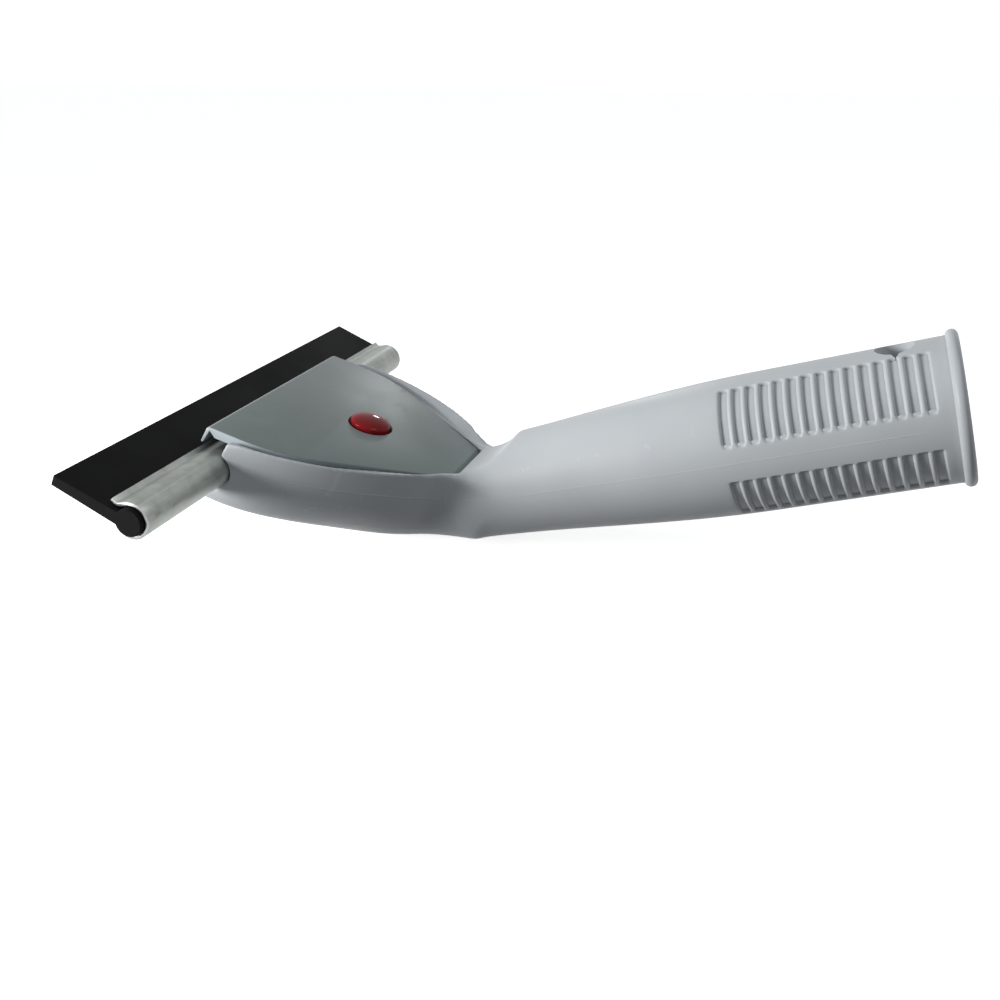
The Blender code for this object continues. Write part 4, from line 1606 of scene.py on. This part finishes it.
# %% Red gloss plastic of the button
red_plastic = make_plastic(
    "red_plastic", specular=0.08, ior=1.5, grain=(("Grain Scale", 1500), ("Wave Scale", 160)),
    scratches=(("Amount", 0.6), ("Scale", 150)), dust=(("Specks", 0.2), ("Film", 0.004)),
    painted_edges=False, cut=None, tones=((0.24, 0.009, 0.012, 1), (0.28, 0.012, 0.015, 1)),
    tints=(("scratches", 0.3, (0.30, 0.06, 0.06, 1)), ("dust", 1.0, (0.5, 0.42, 0.40, 1))),
    rough=(0.08, 0.13), scratch_rough=0.25, scratch_height=0.0, relief=0.2, depth=0.00005)
dress(button, red_plastic)
print("finish", red_plastic.name, "on the button")

# %% [markdown]
# ## Black rubber
#
# Natural rubber is not quite black and not quite matt. It has faint streaks along the strip from
# the extruder, and a grey bloom where it has been wiped. Its cut ends are greyer, since the
# saw leaves them rough.

# %% Rubber finish


def make_rubber():
    finish, w, shader = new_finish("black_rubber", (("Specular IOR Level", 0.03), ("IOR", 1.52)))
    place = w.object_place()
    streak = w.noise(w.stretched(place, (0.03, 1, 1)), 900, 2, 0.5)
    bloom = w.between(w.noise(place, 45, 4, 0.6), 0.4, 0.75)
    dust = placed(w, dust_group, (("Specks", 0.5), ("Film", 0.02))).outputs["Mask"]
    sawn = w.cut_end(0.8, 0.97)
    colour = w.tint((0.0085, 0.0087, 0.0090, 1), streak, 0.5, (0.0120, 0.0122, 0.0125, 1))
    colour = w.tint(colour, bloom, 0.2, (0.020, 0.020, 0.021, 1))
    colour = w.tint(colour, sawn, 0.8, (0.013, 0.013, 0.0135, 1))
    colour = w.tint(colour, dust, 0.5, (0.25, 0.25, 0.24, 1))
    w.feed(shader.inputs["Base Color"], colour)
    gloss = w.between(bloom, 0.0, 1.0, 0.62, 0.74)
    w.feed(shader.inputs["Roughness"], w.math("MULTIPLY_ADD", sawn, 0.15, gloss))
    grit = w.math("MULTIPLY", w.noise(place, 2600, 3, 0.6), 0.5)
    bump(w, shader, w.math("MULTIPLY_ADD", streak, 0.7, grit), 0.35, 0.00004)
    return finish


black_rubber = make_rubber()
dress(rubber, black_rubber)
print("finish", black_rubber.name, "on the rubber")

# %% [markdown]
# ## Steel
#
# The channel is zinc coated. Hot zinc freezes in large soft crystals, which show as mottled
# patches, each with a slightly different grey and gloss. The roll former drew thin lines along
# the strip, and the shear left the cut ends bright. Pin, washer and spring are plainer steel
# with turning or drawing marks.

# %% Zinc coated steel


def make_zinc():
    finish, w, shader = new_finish("zinc_coated_steel", (("Specular IOR Level", 0.5),))
    place = w.object_place()
    warp = w.node("ShaderNodeTexNoise", (("Vector", place), ("Scale", 180), ("Detail", 2.0)))
    bend = ((0, warp.outputs["Color"]), (1, (0.006, 0.006, 0.006)), (2, place))
    bent = w.node("ShaderNodeVectorMath", bend, operation="MULTIPLY_ADD").outputs[0]
    values = (("Vector", bent), ("Scale", 420), ("Smoothness", 1.0))
    cells = w.node("ShaderNodeTexVoronoi", values, feature="SMOOTH_F1")
    cloud = w.noise(place, 190, 5, 0.65)
    crystal = w.red_part(cells.outputs["Color"])
    mottle = w.math("MULTIPLY_ADD", crystal, 0.3, w.math("MULTIPLY", cloud, 0.7))
    line = w.noise(w.stretched(place, (0.012, 1, 1)), 1500, 2, 0.6)
    colour = w.mix(w.between(mottle, 0.3, 0.75), (0.25, 0.27, 0.255, 1), (0.37, 0.395, 0.375, 1))
    colour = w.tint(colour, w.between(line, 0.45, 0.7), 0.25, (0.46, 0.48, 0.46, 1))
    colour = w.mix(w.cut_end(0.6, 0.9), colour, (0.38, 0.385, 0.40, 1))
    w.feed(shader.inputs["Base Color"], colour)
    w.feed(shader.inputs["Metallic"], w.between(cloud, 0.3, 0.7, 0.72, 0.9))
    gloss = w.between(mottle, 0.3, 0.75, 0.36, 0.50)
    w.feed(shader.inputs["Roughness"], w.math("MULTIPLY_ADD", line, 0.12, gloss))
    bump(w, shader, w.math("MULTIPLY_ADD", line, 0.8, w.math("MULTIPLY", cloud, 1.2)), 0.3, 0.00005)
    return finish


zinc_steel = make_zinc()
dress(channel, zinc_steel)
print("finish", zinc_steel.name, "on the channel")

# %% Bright steel of pin, washer and spring


def make_bright_steel(name, light, dark, stretch, low_rough, high_rough):
    finish, w, shader = new_finish(name, (("Specular IOR Level", 0.5),))
    place = w.object_place()
    drawn = w.noise(w.stretched(place, stretch), 2200, 3, 0.6)
    stain = w.between(w.noise(place, 400, 3, 0.6), 0.45, 0.75)
    colour = w.tint(w.mix(w.between(drawn, 0.3, 0.7), dark, light), stain, 0.3, (0.20, 0.17, 0.14, 1))
    w.feed(shader.inputs["Base Color"], colour)
    w.feed(shader.inputs["Metallic"], w.between(stain, 0.0, 1.0, 1.0, 0.8))
    w.feed(shader.inputs["Roughness"], w.between(drawn, 0.3, 0.7, low_rough, high_rough))
    bump(w, shader, drawn, 0.25, 0.00002)
    return finish


pin_steel = make_bright_steel("pin_steel", (0.60, 0.59, 0.57, 1), (0.44, 0.43, 0.42, 1),
                              (0.05, 1, 1), 0.22, 0.36)
spring_steel = make_bright_steel("spring_steel", (0.50, 0.50, 0.49, 1), (0.34, 0.34, 0.34, 1),
                                 (1, 1, 1), 0.28, 0.42)
for ob, finish in ((pin, pin_steel), (washer, spring_steel), (spring, spring_steel)):
    dress(ob, finish)
print("finishes", pin_steel.name, "and", spring_steel.name, "on three small pieces")

# %% [markdown]
# ## Floor, background and light
#
# A plain pale floor carries the squeegee. The eye and mirror-like reflections see it white,
# through Light Path, but the light that it throws back up is held low, so that the belly stays
# dark as it would over a table. The main lamp stands low on the photographer's left, in front of
# the rubber. A weak one hangs high beyond the handle's end, and a tiny one on the far side gives
# the button its highlight.

# %% Floor and world
floor_size = 6.0
floor_seen = 0.80
floor_glow = 0.83
floor_bounce = 0.18
world_light = 0.21


def seen_share(w):
    """1 for the camera and for mirror-like or clear reflections of it, else 0."""
    path = w.node("ShaderNodeLightPath")
    seen = w.math("MAXIMUM", path.outputs["Is Camera Ray"], path.outputs["Is Glossy Ray"])
    return w.math("MAXIMUM", seen, path.outputs["Is Transmission Ray"])


def make_floor():
    """A plain floor that is pale to the eye and dull to the light that it throws back."""
    half = floor_size / 2
    corners = [(-half, -half, 0), (half, -half, 0), (half, half, 0), (-half, half, 0)]
    mesh = bpy.data.meshes.new("floor")
    mesh.from_pydata(corners, [], [(0, 1, 2, 3)])
    floor = new_object("floor", mesh)
    paint = bpy.data.materials.new("pale_floor")
    paint.use_nodes = True
    nodes = paint.node_tree.nodes
    nodes.remove(nodes["Principled BSDF"])
    w = Wiring(paint.node_tree)
    pale = w.node("ShaderNodeBsdfDiffuse", (("Color", (floor_seen, floor_seen, floor_seen, 1)),))
    glow = w.node("ShaderNodeEmission", (("Color", (1, 1, 1, 1)), ("Strength", floor_glow)))
    lit = w.node("ShaderNodeAddShader", ((0, pale.outputs[0]), (1, glow.outputs[0])))
    dull = w.node("ShaderNodeBsdfDiffuse", (("Color", (floor_bounce, floor_bounce, floor_bounce, 1)),))
    both = w.node("ShaderNodeMixShader", ((0, seen_share(w)), (1, dull.outputs[0]), (2, lit.outputs[0])))
    w.feed(nodes["Material Output"].inputs["Surface"], both.outputs[0])
    floor.data.materials.append(paint)


def make_world():
    world = bpy.data.worlds.new("studio")
    bpy.context.scene.world = world
    world.use_nodes = True
    w = Wiring(world.node_tree)
    air = world.node_tree.nodes["Background"]
    air.inputs["Color"].default_value = (0.93, 0.97, 1.0, 1)
    air.inputs["Strength"].default_value = world_light
    white = w.node("ShaderNodeBackground", (("Color", (1, 1, 1, 1)), ("Strength", 1.0)))
    both = w.node("ShaderNodeMixShader", ((0, seen_share(w)), (1, air.outputs[0]), (2, white.outputs[0])))
    w.feed(world.node_tree.nodes["World Output"].inputs["Surface"], both.outputs[0])


make_floor()
make_world()
print("floor and world are in place")

# %% Lamps


def soft_lamp(name, place, aim, size, watts, colour):
    """A round lamp, its size and places in metres, turned towards its aim."""
    light = bpy.data.lights.new(name, "AREA")
    light.shape = "DISK"
    light.size = size
    light.energy = watts
    light.color = colour
    lamp = bpy.data.objects.new(name, light)
    bpy.context.scene.collection.objects.link(lamp)
    lamp.location = place
    lamp.rotation_euler = (Vector(aim) - Vector(place)).to_track_quat("-Z", "Y").to_euler()


warm, cool = (1.0, 0.985, 0.97), (0.97, 0.985, 1.0)
lamps = (("key", (0.26, -0.42, 0.125), (0, 0, 0.03), 0.2, 3.45, warm),
         ("top", (0.04, 0.265, 0.455), (0, 0, 0.03), 0.2, 0.5, cool),
         ("back", (-0.42, -0.135, 0.17), (0, 0, 0.02), 0.03, 0.08, cool))
for lamp in lamps:
    soft_lamp(*lamp)
print(len(lamps), "lamps are in place")

# %% [markdown]
# ## Camera
#
# The camera stands where the photographer stood, off the handle's right flank and a little
# above it. Its place was found by matching the corners of the rubber, the channel and the
# plate to the picture.

# %% Camera
camera_place = (0.2756, 0.0690, 0.1280)
camera_turn = (1.1860, -0.0002, 1.8759)
camera_lens = 40.8
camera_sensor = 36
camera_near = 0.01

camera_data = bpy.data.cameras.new("photo_view")
camera_data.sensor_fit = "HORIZONTAL"
camera_data.sensor_width = camera_sensor
camera_data.lens = camera_lens
camera_data.clip_start = camera_near
camera = bpy.data.objects.new("photo_view", camera_data)
bpy.context.scene.collection.objects.link(camera)
camera.location = camera_place
camera.rotation_euler = camera_turn
bpy.context.scene.camera = camera
bpy.context.scene.view_settings.view_transform = "Standard"
print("camera lens", camera_lens, "mm")
